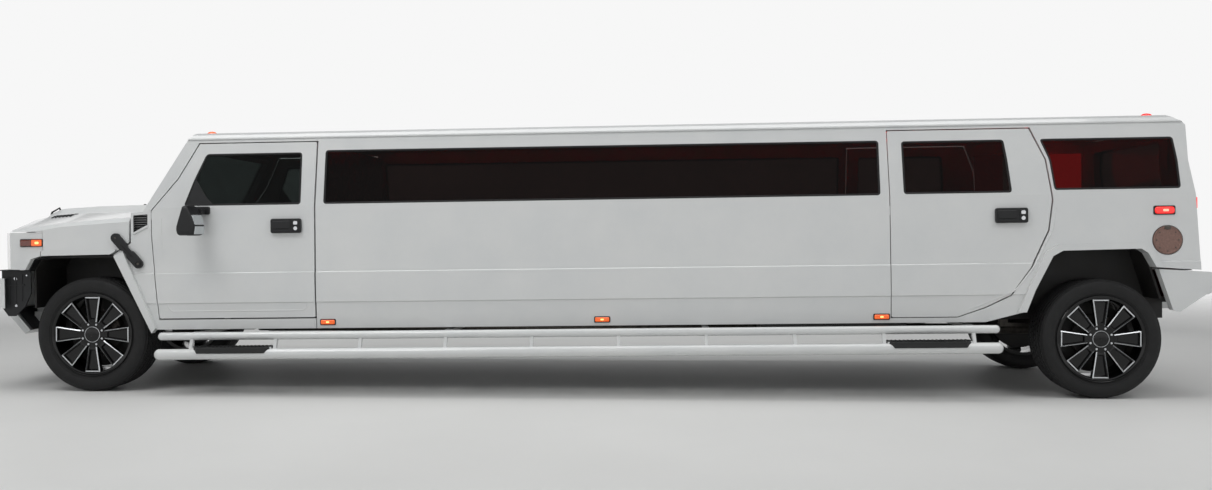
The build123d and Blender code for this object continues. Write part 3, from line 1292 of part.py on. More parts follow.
# Rear axle with its differential, spindles, leaf springs, shackles and propeller shaft
AXLE_TUBE = 45
SPRING_HALF = 560
SHACKLE = 60
SHACKLE_SEAT = 0.3
SHAFT_RADIUS = 42
SHAFT_X = FRONT + 950
SHAFT_DROP = 15
with BuildPart() as rear_axle:
    with Locations(Location((REAR, 0, TYRE_RADIUS), (90, 0, 0))):
        Cylinder(AXLE_TUBE, 2 * (HUB_INNER_Y - 6))
        Cylinder(SPINDLE, 2 * SPINDLE_TIP_Y)
    with Locations((REAR, 0, TYRE_RADIUS)):
        Sphere(150)
    for side in (-1, 1):
        with Locations((REAR, side * 400, TYRE_RADIUS + AXLE_TUBE - 4)):
            Box(2 * SPRING_HALF, 70, 30, align=(Align.CENTER, Align.CENTER, Align.MIN))
        for x in (REAR - SPRING_HALF + SHACKLE / 2, REAR + SPRING_HALF - SHACKLE / 2):
            foot = TYRE_RADIUS + AXLE_TUBE + 10
            head = (x - SHACKLE / 2) * math.tan(LEAN) + FRAME_BOTTOM_Z / math.cos(LEAN) - SHACKLE_SEAT
            with Locations((x, side * 400, foot)):
                Box(SHACKLE, 50, head - foot, align=(Align.CENTER, Align.CENTER, Align.MIN))
    shaft_plane = Plane(origin=(SHAFT_X, 0, TYRE_RADIUS - SHAFT_DROP), x_dir=(0, 1, 0), z_dir=(1, 0, 0))
    with BuildSketch(shaft_plane) as shaft:
        Circle(SHAFT_RADIUS)
    extrude(shaft.sketch, amount=REAR - 100 - SHAFT_X)
rear_axle.part.label = "rear_axle"

WHEELS = (
    ("front_left", FRONT, -1),
    ("front_right", FRONT, 1),
    ("rear_left", REAR, -1),
    ("rear_right", REAR, 1),
)
standing = [left_knuckle, right_knuckle, front_suspension, rear_axle]
for corner, x, side in WHEELS:
    tyre = build_tyre(x, side)
    tyre.part.label = corner + "_tyre"
    rim = build_rim(x, side)
    rim.part.label = corner + "_rim"
    standing += [tyre, rim]

body = [
    chassis_frame,
    crossmembers,
    engine_block,
    exhaust,
    fuel_tank,
    floor_pan,
    wheel_housings,
    cowl_and_pillars,
    windshield,
    roof_panel,
    stretch_panels,
    rear_quarters,
    fuel_door,
    side_glass,
    front_panel,
    grille,
    headlamps,
    front_bumper,
    rear_bumper,
    tail_lamps,
    amber_lamps,
    hood,
    hood_latches,
    driver_door,
    passenger_door,
    rear_left_door,
    rear_right_door,
    driver_glass,
    passenger_glass,
    rear_left_glass,
    rear_right_glass,
    mirror_left,
    mirror_right,
    tailgate,
    tailgate_glass,
    running_boards,
    seats,
    dashboard,
    lounge_cabinet,
]

os.makedirs("parts", exist_ok=True)
for piece in standing:
    export_step(piece.part, f"parts/{piece.part.label}.step")
for piece in body:
    leaned = piece.part.rotate(Axis.Y, -NOSE_DOWN)
    leaned.label = piece.part.label
    export_step(leaned, f"parts/{leaned.label}.step")
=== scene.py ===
import math

import bmesh
import bpy
from mathutils import Matrix, Vector


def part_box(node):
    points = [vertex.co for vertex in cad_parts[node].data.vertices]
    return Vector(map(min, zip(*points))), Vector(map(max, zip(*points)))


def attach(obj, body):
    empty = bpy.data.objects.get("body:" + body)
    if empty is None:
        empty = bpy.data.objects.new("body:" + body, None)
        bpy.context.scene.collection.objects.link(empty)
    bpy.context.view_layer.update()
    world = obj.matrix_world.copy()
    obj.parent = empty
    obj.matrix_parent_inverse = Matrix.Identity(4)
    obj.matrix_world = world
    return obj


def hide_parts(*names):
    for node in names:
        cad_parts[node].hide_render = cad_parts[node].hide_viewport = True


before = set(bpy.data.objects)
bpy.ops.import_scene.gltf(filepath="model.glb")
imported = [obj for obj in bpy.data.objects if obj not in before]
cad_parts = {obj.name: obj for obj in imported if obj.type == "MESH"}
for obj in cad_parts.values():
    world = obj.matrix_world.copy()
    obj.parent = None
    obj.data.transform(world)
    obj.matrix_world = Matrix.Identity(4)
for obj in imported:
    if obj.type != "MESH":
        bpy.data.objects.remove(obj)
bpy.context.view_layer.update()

# Sizes in millimetres, as in the part's source. Body pieces are made level and then leaned.
MM = 0.001
WHEELBASE = 7691
FRONT = -WHEELBASE / 2
REAR = WHEELBASE / 2
LEAN = Matrix.Rotation(math.radians(-0.75), 4, "Y")
TYRE_RADIUS = 444.5
WHEEL_Y = 851
# Outside of the body's side: (height, half-width)
SIDE_LINE = ((528, 988), (727, 996), (733, 1002), (961, 1002), (967, 996), (1470, 985), (1980, 882))
# Outside of the roof: (distance from its middle, height)
ROOF_LINE = ((0, 2080), (420, 2076), (800, 2062))
WINDOW_LOW_Z = 1485
WINDOW_HIGH_Z = 1889
WINDOW_MID_Z = 1687
STRETCH_FRONT_X = FRONT + 1792
STRETCH_REAR_X = REAR - 1532
SIDES = ((-1, "left"), (1, "right"))
FRONT_DOORS = {-1: "driver_door", 1: "passenger_door"}
REAR_DOORS = {-1: "rear_left_door", 1: "rear_right_door"}
CAR_BODY = {-1: "car", 1: "car"}


def front_points(rows):
    """Side-view points given from the front axle."""
    return [(FRONT + x, z) for x, z in rows]


def rear_points(rows):
    """Side-view points given from the rear axle."""
    return [(REAR + x, z) for x, z in rows]


def along(line, start):
    """Second value of a line of points at a first value."""
    for (low, at_low), (high, at_high) in zip(line, line[1:]):
        if start <= high:
            return at_low + (at_high - at_low) * (start - low) / (high - low)
    return line[-1][1]


def side_hw(z):
    """Half-width of the body side at a height."""
    return along(SIDE_LINE, z)


def roof_z(y):
    """Height of the roof's outside at a distance from its middle."""
    return along(ROOF_LINE, abs(y))


# Shapes are pairs of corner points and faces, in millimetres


def merged(*shapes):
    """Several shapes as one."""
    points, faces = [], []
    for shape_points, shape_faces in shapes:
        start = len(points)
        points += [tuple(p) for p in shape_points]
        faces += [tuple(index + start for index in face) for face in shape_faces]
    return points, faces


def moved(shape, matrix):
    """A shape under a matrix."""
    points, faces = shape
    return [tuple(matrix @ Vector(p)) for p in points], faces


def mirrored(shape):
    """The same shape on the passenger's side."""
    points, faces = shape
    return [(x, -y, z) for x, y, z in points], [tuple(reversed(face)) for face in faces]


def block(x0, x1, y0, y1, z0, z1):
    """Box between two corners."""
    points = [(x, y, z) for x in (x0, x1) for y in (y0, y1) for z in (z0, z1)]
    faces = [(0, 1, 3, 2), (4, 6, 7, 5), (0, 4, 5, 1), (2, 3, 7, 6), (0, 2, 6, 4), (1, 5, 7, 3)]
    return points, faces


def skinned(rings, closed=True, caps=True):
    """Skin through rings of equally many points."""
    count = len(rings[0])
    points = [p for ring in rings for p in ring]
    faces = []
    for r in range(len(rings) - 1):
        for i in range(count if closed else count - 1):
            j = (i + 1) % count
            a, b = r * count, (r + 1) * count
            faces.append((a + i, a + j, b + j, b + i))
    if caps:
        faces.append(tuple(reversed(range(count))))
        faces.append(tuple(range((len(rings) - 1) * count, len(rings) * count)))
    return points, faces


def standing(outline, y):
    """Side-view outline at a distance from the middle."""
    return [(x, y, z) for x, z in outline]


def slab(outline, y0, y1):
    """Side-view outline between two distances from the middle."""
    return skinned([standing(outline, y0), standing(outline, y1)])


def turn_angles(steps):
    """Equal steps of a full turn."""
    return [2 * math.pi * step / steps for step in range(steps)]


def circle(x, z, radius, steps=24):
    """Side-view circle about a point."""
    return [(x + radius * math.cos(a), z + radius * math.sin(a)) for a in turn_angles(steps)]


def disc(x, z, y0, y1, radius, steps=24):
    """Round slab seen from the side."""
    return slab(circle(x, z, radius, steps), y0, y1)


def lathed(profile, steps, closed=True):
    """Profile rows of (distance along Y, radius), turned about the Y axis."""
    rings = []
    for a in turn_angles(steps) + [0]:
        rings.append([(r * math.cos(a), u, r * math.sin(a)) for u, r in profile])
    return skinned(rings, closed=closed, caps=False)


def turned(profile, steps=32, closed=False):
    """Profile rows of (radius, height), turned about the Z axis."""
    rings = []
    for a in turn_angles(steps) + [0]:
        rings.append([(r * math.cos(a), r * math.sin(a), z) for r, z in profile])
    return skinned(rings, closed=closed, caps=False)


# Longest part of an edge that the rounding of a corner may take
CORNER_PART = 0.45


def rounded(points, radius, steps=5):
    """Outline with its corners rounded."""
    result = []
    count = len(points)
    for i, corner in enumerate(points):
        here = Vector(corner)
        before = Vector(points[i - 1]) - here
        after = Vector(points[(i + 1) % count]) - here
        reach = min(radius, before.length * CORNER_PART, after.length * CORNER_PART)
        start, end = here + before.normalized() * reach, here + after.normalized() * reach
        for step in range(steps + 1):
            t = step / steps
            result.append(tuple((1 - t) ** 2 * start + 2 * t * (1 - t) * here + t * t * end))
    return result


def grown(points, amount):
    """Outline pushed outwards from its middle line by an amount."""
    count = len(points)
    area = sum(
        points[i][0] * points[(i + 1) % count][1] - points[(i + 1) % count][0] * points[i][1]
        for i in range(count)
    )
    sign = 1 if area > 0 else -1
    result = []
    for i, (x, z) in enumerate(points):
        (ax, az), (bx, bz) = points[i - 1], points[(i + 1) % count]
        way = Vector((bx - ax, bz - az))
        if way.length < 1e-6:
            result.append((x, z))
            continue
        way.normalize()
        result.append((x + sign * way.y * amount, z - sign * way.x * amount))
    return result


def finished(obj, material, body, leaned, bevel, segments, sharp):
    """Gives a new object its material, edges, lean and body."""
    mesh = obj.data
    for layer in material if isinstance(material, tuple) else (material,):
        mesh.materials.append(layer)
    if leaned:
        mesh.transform(LEAN)
    bpy.context.scene.collection.objects.link(obj)
    if obj.type == "MESH":
        mesh.shade_smooth()
        mesh.set_sharp_from_angle(angle=math.radians(sharp))
        if bevel:
            edge = obj.modifiers.new("edges", "BEVEL")
            edge.width = bevel * MM
            edge.segments = segments
            edge.limit_method = "ANGLE"
            edge.angle_limit = math.radians(32)
            edge.harden_normals = True
    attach(obj, body)
    return obj


def piece(name, shape, material, body, leaned=True, bevel=0.0, segments=2, sharp=38, tones=None):
    """Makes a mesh piece from a shape, with a material number for each face where tones are given."""
    mesh = bpy.data.meshes.new(name)
    points, faces = shape
    mesh.from_pydata([Vector(p) * MM for p in points], [], faces)
    if tones:
        for polygon, index in zip(mesh.polygons, tones):
            polygon.material_index = index
    work = bmesh.new()
    work.from_mesh(mesh)
    bmesh.ops.remove_doubles(work, verts=work.verts, dist=1e-6)
    bmesh.ops.recalc_face_normals(work, faces=work.faces)
    work.to_mesh(mesh)
    work.free()
    return finished(bpy.data.objects.new(name, mesh), material, body, leaned, bevel, segments, sharp)


def bead(name, lines, radius, material, body, leaned=True, cyclic=True, flat=1.0):
    """Makes round strips that follow lines of points, flattened across the car where flat is under 1."""
    curve = bpy.data.curves.new(name, "CURVE")
    curve.dimensions = "3D"
    curve.bevel_depth = radius * MM
    curve.bevel_resolution = 2
    curve.use_fill_caps = True
    for line in lines:
        spline = curve.splines.new("POLY")
        spline.points.add(len(line) - 1)
        for point, co in zip(spline.points, line):
            point.co = (co[0] * MM, co[1] * MM / flat, co[2] * MM, 1)
        spline.use_cyclic_u = cyclic
    source = bpy.data.objects.new(name, curve)
    mesh = bpy.data.meshes.new_from_object(source)
    bpy.data.objects.remove(source)
    bpy.data.curves.remove(curve)
    mesh.transform(Matrix.Scale(flat, 4, (0, 1, 0)))
    mesh.name = name
    return finished(bpy.data.objects.new(name, mesh), material, body, leaned, 0, 1, 50)


def on_side(outline, side, proud=0.0):
    """Side-view outline laid on the body's side."""
    return [(x, side * (side_hw(z) + proud), z) for x, z in outline]


def raised(outline, side, proud, depth, edge=3):
    """Plate on the body's side: from depth inside it to proud of it, with a softened outer edge."""
    rings = [
        on_side(outline, side, -depth),
        on_side(outline, side, proud - edge),
        on_side(grown(outline, -edge), side, proud),
    ]
    return skinned(rings)


def oblong(x, z, length, height, radius=14):
    """Rounded side-view rectangle about a point."""
    corners = [(-1, -1), (1, -1), (1, 1), (-1, 1)]
    return rounded([(x + i * length / 2, z + k * height / 2) for i, k in corners], radius, 4)


def dome(radius, height, steps=24, rows=5):
    """Shallow dome about the Z axis on the ground plane."""
    rings = []
    for row in range(rows + 1):
        lift = math.pi / 2 * row / rows
        r = max(radius * math.cos(lift), radius * 0.01)
        ring = [(r * math.cos(a), r * math.sin(a), height * math.sin(lift)) for a in turn_angles(steps)]
        rings.append(ring)
    return skinned(rings)


def at(x, y, z, *turns):
    """Matrix that turns a shape by (degrees, axis) pairs and then moves it."""
    matrix = Matrix.Translation((x, y, z))
    for degrees, axis in turns:
        matrix = matrix @ Matrix.Rotation(math.radians(degrees), 4, axis)
    return matrix


def both(shape):
    """A shape made for the driver's side, on both sides."""
    return merged(shape, mirrored(shape))


# Finishes


def tone(code):
    """sRGB hex colour as linear values."""
    channels = [int(code[i : i + 2], 16) / 255 for i in (1, 3, 5)]
    return tuple(c / 12.92 if c <= 0.04045 else ((c + 0.055) / 1.055) ** 2.4 for c in channels) + (1.0,)


def add(tree, kind, values, links, **settings):
    """Adds a node with its input values, its links from other nodes' sockets, and its settings."""
    node = tree.nodes.new(kind)
    for name, value in settings.items():
        setattr(node, name, value)
    for socket, value in values.items():
        node.inputs[socket].default_value = value
    for socket, source in links.items():
        tree.links.new(source, node.inputs[socket])
    return node


def found(tree, kind):
    """A tree's first node of a kind."""
    return next(node for node in tree.nodes if node.bl_idname == kind)


def finish(name, low, high, patch_mm, grain_mm, relief_mm, rough, values):
    """A finish of two tones in soft patches, a fine grain in relief and a roughness range.

    patch_mm and grain_mm are the sizes of a patch and of a grain, relief_mm the grain's height.
    Grains that are finer on the real surface are drawn about 1 to 3 mm across, so that they show.
    """
    material = bpy.data.materials.new(name)
    material.use_nodes = True
    tree = material.node_tree
    tree.nodes.clear()
    place = add(tree, "ShaderNodeTexCoord", {}, {})
    patch = add(
        tree,
        "ShaderNodeTexNoise",
        {"Scale": 1000 / patch_mm, "Detail": 5.0, "Roughness": 0.6},
        {"Vector": place.outputs["Object"]},
    )
    grain = add(
        tree,
        "ShaderNodeTexNoise",
        {"Scale": 1000 / grain_mm, "Detail": 3.0, "Roughness": 0.55},
        {"Vector": place.outputs["Object"]},
    )
    mixed = add(
        tree,
        "ShaderNodeMapRange",
        {"From Min": 0.3, "From Max": 0.7, "To Min": 0.0, "To Max": 1.0},
        {"Value": patch.outputs["Fac"]},
    )
    colour = add(
        tree,
        "ShaderNodeMix",
        {6: tone(low), 7: tone(high)},
        {0: mixed.outputs["Result"]},
        data_type="RGBA",
    )
    spread = add(
        tree,
        "ShaderNodeMapRange",
        {"From Min": 0.25, "From Max": 0.75, "To Min": rough[0], "To Max": rough[1]},
        {"Value": patch.outputs["Fac"]},
    )
    bump = add(
        tree,
        "ShaderNodeBump",
        {"Strength": 1.0, "Distance": relief_mm * MM},
        {"Height": grain.outputs["Fac"]},
    )
    surface = add(
        tree,
        "ShaderNodeBsdfPrincipled",
        values,
        {
            "Base Color": colour.outputs[2],
            "Roughness": spread.outputs["Result"],
            "Normal": bump.outputs["Normal"],
        },
    )
    add(tree, "ShaderNodeOutputMaterial", {}, {"Surface": surface.outputs["BSDF"]})
    return material


# Polyurethane paint, sprayed and polished: an even white under a clear coat, with a faint orange peel
WHITE_PAINT = finish(
    "white_paint",
    "#d6d8d8",
    "#dddedd",
    420,
    9,
    0.006,
    (0.30, 0.36),
    {"Coat Weight": 1.0, "Coat Roughness": 0.03, "IOR": 1.5},
)
# Two-pack gloss black on cast aluminium: deep and mirror-like
GLOSS_BLACK = finish(
    "gloss_black_enamel", "#050506", "#09090a", 120, 6, 0.008, (0.12, 0.2), {"IOR": 1.46}
)
# ABS and polypropylene, moulded with a fine spark texture: a soft dark sheen
BLACK_PLASTIC = finish(
    "moulded_black_plastic", "#151617", "#1d1e20", 60, 1.6, 0.12, (0.42, 0.55), {"IOR": 1.46}
)
# EPDM rubber, extruded: matt, nearly black, a little chalky in patches
SEAL_RUBBER = finish(
    "extruded_seal_rubber", "#0b0b0c", "#141415", 35, 1.2, 0.08, (0.6, 0.75), {"IOR": 1.5}
)
# Tyre rubber, vulcanised in a mould: charcoal, dry, with faint dust in patches
TYRE_RUBBER = finish(
    "moulded_tyre_rubber", "#0c0c0d", "#151516", 70, 1.8, 0.15, (0.62, 0.8), {"IOR": 1.5}
)
# Chromium plate on polished metal or ABS: a bright mirror with a trace of haze
CHROME = finish("chrome_plate", "#c9cbce", "#d8dadd", 80, 4, 0.002, (0.05, 0.10), {"Metallic": 1.0})
# Aluminium, milled after painting: bright, with the cutter's fine satin
MILLED_ALUMINIUM = finish(
    "milled_aluminium", "#c6c9cc", "#dcdee0", 8, 0.9, 0.02, (0.25, 0.36), {"Metallic": 1.0}
)
# Aluminium casting, anodised bronze and brushed, dulled outdoors: brown-grey with fine pits
BRONZE_ANODISED = finish(
    "bronze_anodised_aluminium", "#7a625a", "#94776e", 14, 2.2, 0.12, (0.38, 0.52), {"Metallic": 0.75}
)
# Steel under black wax and road dust: dull, dark, with dusty patches
CHASSIS_BLACK = finish(
    "waxed_black_steel", "#141415", "#2a2826", 160, 5, 0.25, (0.5, 0.72), {"IOR": 1.5}
)
# Grey iron, sand cast and heat stained
CAST_IRON = finish(
    "cast_iron", "#39383a", "#4c4945", 45, 2.5, 0.35, (0.5, 0.7), {"Metallic": 0.6}
)
# Aluminised mild steel tube, drawn, browned by heat in patches
ALUMINISED_STEEL = finish(
    "aluminised_steel", "#6e6b66", "#8a8782", 90, 1.5, 0.05, (0.3, 0.5), {"Metallic": 0.85}
)
# Forged steel, machined where it turns: grey with a thin rust bloom
FORGED_STEEL = finish(
    "forged_steel", "#4a4744", "#6a655f", 38, 1.6, 0.08, (0.35, 0.55), {"Metallic": 0.8}
)
# Polyethylene tank, blow moulded: waxy black with a long soft ripple
TANK_PLASTIC = finish(
    "blow_moulded_polyethylene", "#111213", "#1a1b1c", 120, 12, 0.3, (0.4, 0.55), {"IOR": 1.51}
)
# Soft-touch vinyl skin over foam: matt charcoal with a pebble grain
DASH_VINYL = finish("pebbled_vinyl", "#1b1b1d", "#232326", 90, 2.4, 0.22, (0.5, 0.62), {"IOR": 1.5})
# Walnut veneer, sliced and lacquered: warm brown with soft dark clouds under a gloss
WALNUT = finish(
    "lacquered_walnut_veneer",
    "#3a2418",
    "#5a3a26",
    55,
    3,
    0.03,
    (0.22, 0.32),
    {"Coat Weight": 0.8, "Coat Roughness": 0.08},
)
# Tufted nylon carpet: dark, tangled and matt
CARPET = finish(
    "tufted_nylon_carpet",
    "#17171a",
    "#26262a",
    25,
    3.2,
    1.2,
    (0.85, 0.95),
    {"Sheen Weight": 0.4, "Sheen Roughness": 0.6},
)
# Headliner and door trim: knitted fabric on foam, pale grey and matt
HEADLINER = finish(
    "knitted_headliner", "#9a9a98", "#a8a8a5", 60, 1.6, 0.25, (0.8, 0.9), {"Sheen Weight": 0.3}
)
# Aluminium tread plate under black powder coat: slightly rough
STEP_BLACK = finish("powder_coated_step", "#0e0f10", "#1a1b1c", 30, 1.4, 0.12, (0.4, 0.55), {"IOR": 1.5})


def leather(name, low, high):
    """Pigmented cowhide: a pebble grain, drawn 3 mm across so that it shows, and a dull sheen."""
    gloss = {"IOR": 1.5, "Coat Weight": 0.15, "Coat Roughness": 0.35}
    material = finish(name, low, high, 140, 3, 0.2, (0.36, 0.5), gloss)
    tree = material.node_tree
    cells = add(
        tree,
        "ShaderNodeTexVoronoi",
        {"Scale": 1000 / 3.2},
        {"Vector": found(tree, "ShaderNodeTexCoord").outputs["Object"]},
        feature="DISTANCE_TO_EDGE",
    )
    tree.links.new(cells.outputs["Distance"], found(tree, "ShaderNodeBump").inputs["Height"])
    return material


BLACK_LEATHER = leather("black_cowhide", "#121214", "#1c1c1f")
PALE_LEATHER = leather("ivory_cowhide", "#b9b2a4", "#c8c1b3")


def glass(name, low, high, cloud):
    """Float glass, tempered and tinted: flat and mirror-smooth, the tint in its body, where it can also hold
    painted shade.
    """
    clear = {"IOR": 1.52, "Transmission Weight": 1.0}
    return finish(name, low, high, 700, 260, cloud, (0.015, 0.03), clear)


# Front glass: tinted much darker than green float glass, as painted shade of the unlit cabin seen through it
SHADE_DARKENED_GLASS = glass("green_glass_with_painted_cabin_shade", "#5a615f", "#616866", 0.01)
LIMO_GLASS = glass("privacy_glass", "#4e4240", "#564a48", 0.02)
# Float glass, silvered on its back: a clean bright mirror
MIRROR_GLASS = finish(
    "silvered_mirror_glass", "#c7cbcd", "#d2d6d8", 90, 60, 0.001, (0.02, 0.04), {"Metallic": 1.0}
)
# Polycarbonate, injection moulded: clear, with a faint ripple
LAMP_GLASS = finish(
    "polycarbonate_lens",
    "#dfe3e4",
    "#e9ecec",
    90,
    14,
    0.25,
    (0.03, 0.06),
    {"IOR": 1.58, "Transmission Weight": 1.0},
)


# Width of the ribs inside the lamp lenses
LENS_RIB = 5


def lens(name, low, high, glow, strength):
    """Acrylic lamp lens, moulded with ribs on its inside: coloured through, with a soft glow."""
    gloss = {"IOR": 1.49, "Coat Weight": 1.0, "Coat Roughness": 0.03}
    material = finish(name, low, high, 22, LENS_RIB, 0.6, (0.08, 0.16), gloss)
    surface = found(material.node_tree, "ShaderNodeBsdfPrincipled")
    surface.inputs["Emission Color"].default_value = tone(glow)
    surface.inputs["Emission Strength"].default_value = strength
    return material


RED_LENS = lens("red_acrylic_lens", "#7d0a0d", "#a10f12", "#ff1208", 0.25)
RED_LIT = lens("red_acrylic_lens_lit", "#b00c12", "#d01418", "#ff1a10", 1.0)
RED_BULB = lens("red_bulb_glow", "#ff4a38", "#ff6a58", "#ff7a66", 3.0)
AMBER_LENS = lens("amber_acrylic_lens", "#8a3a10", "#a84b16", "#ff6a10", 0.15)
AMBER_DARK = lens("dark_amber_lens", "#3c140c", "#561e12", "#ff5a10", 0.05)
AMBER_LIT = lens("amber_acrylic_lens_lit", "#c24a16", "#d85a1e", "#ff6a18", 0.55)
AMBER_BULB = lens("amber_bulb_glow", "#ff9a50", "#ffb070", "#ffa860", 2.2)
RED_PANEL = lens("red_light_panel", "#8a0810", "#a80c14", "#e00810", 1.2)
RED_DIM = lens("dim_red_light_panel", "#4a0a0e", "#5c0e12", "#c00c18", 0.16)
RED_STRIP = lens("red_light_strip", "#c01018", "#d81820", "#ff1010", 5.0)

FINISHES = {
    WHITE_PAINT: (
        "cowl_and_pillars roof_panel stretch_panels rear_quarters hood driver_door passenger_door"
        " rear_left_door rear_right_door tailgate front_panel front_bumper rear_bumper running_boards"
    ),
    CHASSIS_BLACK: "chassis_frame crossmembers floor_pan wheel_housings",
    FORGED_STEEL: "left_knuckle right_knuckle front_suspension rear_axle",
    CAST_IRON: "engine_block",
    ALUMINISED_STEEL: "exhaust",
    TANK_PLASTIC: "fuel_tank",
    BRONZE_ANODISED: "fuel_door",
    CHROME: "grille",
    LAMP_GLASS: "headlamps",
    RED_LENS: "tail_lamps",
    AMBER_LENS: "amber_lamps",
    BLACK_PLASTIC: "hood_latches mirror_left mirror_right",
    SHADE_DARKENED_GLASS: "windshield driver_glass passenger_glass",
    LIMO_GLASS: "side_glass rear_left_glass rear_right_glass tailgate_glass",
    DASH_VINYL: "dashboard",
    WALNUT: "lounge_cabinet",
    BLACK_LEATHER: "seats",
    GLOSS_BLACK: "front_left_rim front_right_rim rear_left_rim rear_right_rim",
    TYRE_RUBBER: "front_left_tyre front_right_tyre rear_left_tyre rear_right_tyre",
}
for material, names in FINISHES.items():
    for name in names.split():
        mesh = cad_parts[name].data
        mesh.materials.clear()
        mesh.materials.append(material)

# Camera at the photograph's place: 9 m from the car's middle line, at chest height
CAMERA_PLACE = (0.6, -9.0, 1.25)
YAW, PITCH, ROLL = (math.radians(a) for a in (-3.07, -0.77, -0.05))
FILM_WIDTH = 36
# Focal length and width of the picture, both in pixels
FOCAL_PIXELS = 1057
PICTURE_PIXELS = 1212
camera = bpy.data.objects.new("camera", bpy.data.cameras.new("camera"))
bpy.context.scene.collection.objects.link(camera)
bpy.context.scene.camera = camera
forward = Vector((math.sin(YAW) * math.cos(PITCH), math.cos(YAW) * math.cos(PITCH), math.sin(PITCH)))
right = Vector((math.cos(YAW), -math.sin(YAW), 0))
up = right.cross(forward)
aim = Matrix((right, up, -forward)).transposed() @ Matrix.Rotation(ROLL, 3, "Z")
camera.matrix_world = Matrix.Translation(CAMERA_PLACE) @ aim.to_4x4()
camera.data.sensor_width = FILM_WIDTH
camera.data.lens = FILM_WIDTH * FOCAL_PIXELS / PICTURE_PIXELS
camera.data.clip_end = 200

# Floor, light and background: a pale floor that fades into the white backdrop away from the car
FLOOR_HALF = 60
# Half-axes of the oval outside which the floor is gone, in metres along and across the car
FLOOR_OVAL = (24, 17)
floor_mesh = bpy.data.meshes.new("studio_floor")
floor_corners = [(x * FLOOR_HALF, y * FLOOR_HALF, 0) for x, y in ((-1, -1), (1, -1), (1, 1), (-1, 1))]
floor_mesh.from_pydata(floor_corners, [], [(0, 1, 2, 3)])
floor = bpy.data.objects.new("studio_floor", floor_mesh)
bpy.context.scene.collection.objects.link(floor)
# Painted studio floor, rolled: pale and dull, with faint roller marks
floor_finish = finish(
    "pale_studio_floor", "#d4d4d2", "#dadad8", 2600, 18, 0.05, (0.55, 0.65), {"IOR": 1.45}
)
tree = floor_finish.node_tree
stretched = add(
    tree,
    "ShaderNodeMapping",
    {"Scale": (1 / FLOOR_OVAL[0], 1 / FLOOR_OVAL[1], 1)},
    {"Vector": found(tree, "ShaderNodeTexCoord").outputs["Object"]},
)
oval = add(
    tree,
    "ShaderNodeTexGradient",
    {},
    {"Vector": stretched.outputs["Vector"]},
    gradient_type="SPHERICAL",
)
shown = add(tree, "ShaderNodeMapRange", {"From Min": 0.05, "From Max": 0.6}, {"Value": oval.outputs["Fac"]})
clear = add(tree, "ShaderNodeBsdfTransparent", {}, {})
cover = found(tree, "ShaderNodeBsdfPrincipled")
faded = add(
    tree,
    "ShaderNodeMixShader",
    {},
    {0: shown.outputs["Result"], 1: clear.outputs["BSDF"], 2: cover.outputs["BSDF"]},
)
tree.links.new(faded.outputs["Shader"], found(tree, "ShaderNodeOutputMaterial").inputs["Surface"])
floor_mesh.materials.append(floor_finish)

# The backdrop is what the camera sees and what glossy and clear surfaces show; the room lights the rest
world = bpy.data.worlds.new("studio")
world.use_nodes = True
bpy.context.scene.world = world
tree = world.node_tree
tree.nodes.clear()
rays = add(tree, "ShaderNodeLightPath", {}, {})
seen = rays.outputs["Is Camera Ray"]
for kind in ("Is Glossy Ray", "Is Transmission Ray"):
    either = add(tree, "ShaderNodeMath", {}, {0: seen, 1: rays.outputs[kind]}, operation="MAXIMUM")
    seen = either.outputs["Value"]
room = add(tree, "ShaderNodeBackground", {"Color": tone("#eef0f2"), "Strength": 0.45}, {})
# The backdrop is white up to the top of the picture and darkens above it towards the studio's ceiling
place = add(tree, "ShaderNodeTexCoord", {}, {})
way = add(tree, "ShaderNodeSeparateXYZ", {}, {0: place.outputs["Generated"]})
height = add(
    tree,
    "ShaderNodeMapRange",
    {"From Min": 0.25, "From Max": 0.38, "To Min": 1.0, "To Max": 0.13},
    {"Value": way.outputs["Z"]},
    interpolation_type="SMOOTHSTEP",
)
backdrop = add(
    tree, "ShaderNodeBackground", {"Color": tone("#f7f7f7")}, {"Strength": height.outputs["Result"]}
)
mixed = add(
    tree,
    "ShaderNodeMixShader",
    {},
    {0: seen, 1: room.outputs["Background"], 2: backdrop.outputs["Background"]},
)
add(tree, "ShaderNodeOutputWorld", {}, {"Surface": mixed.outputs["Shader"]})
LAMPS = (
    # name, place, target, width, height, power
    ("overhead", (0, -1.0, 8.0), (0, 0, 1), 12, 4, 300),
    ("key", (-5, -5.5, 8.5), (-2, 0, 1), 5, 3, 250),
    ("fill", (7, -5.0, 8.0), (2, 0, 1), 5, 3, 150),
)
for name, spot, target, width, height, power in LAMPS:
    light = bpy.data.lights.new(name, "AREA")
    light.shape = "RECTANGLE"
    light.size = width
    light.size_y = height
    light.energy = power
    lamp = bpy.data.objects.new(name, light)
    bpy.context.scene.collection.objects.link(lamp)
    lamp.location = spot
    lamp.rotation_euler = (Vector(target) - Vector(spot)).to_track_quat("-Z", "Y").to_euler()
bpy.context.scene.view_settings.view_transform = "Standard"

# Windows: a rubber seal round each pane
FRONT_WINDOW = front_points(
    [
        (755, WINDOW_LOW_Z),
        (824, WINDOW_MID_Z),
        (910, WINDOW_HIGH_Z),
        (1668, WINDOW_HIGH_Z),
        (1674, WINDOW_LOW_Z),
    ]
)
STRETCH_WINDOW = [
    (STRETCH_FRONT_X + 62, WINDOW_LOW_Z),
    (STRETCH_FRONT_X + 62, WINDOW_HIGH_Z + 14),
    (STRETCH_REAR_X - 62, WINDOW_HIGH_Z + 9),
    (STRETCH_REAR_X - 66, WINDOW_LOW_Z),
]
REAR_DOOR_WINDOW = rear_points(
    [(-1423, 1490), (-1423, WINDOW_HIGH_Z), (-667, WINDOW_HIGH_Z), (-648, 1733), (-630, 1490)]
)
QUARTER_WINDOW = rear_points(
    [(-400, WINDOW_HIGH_Z), (-340, 1733), (-318, 1504), (594, 1504), (590, 1715), (570, WINDOW_HIGH_Z)]
)
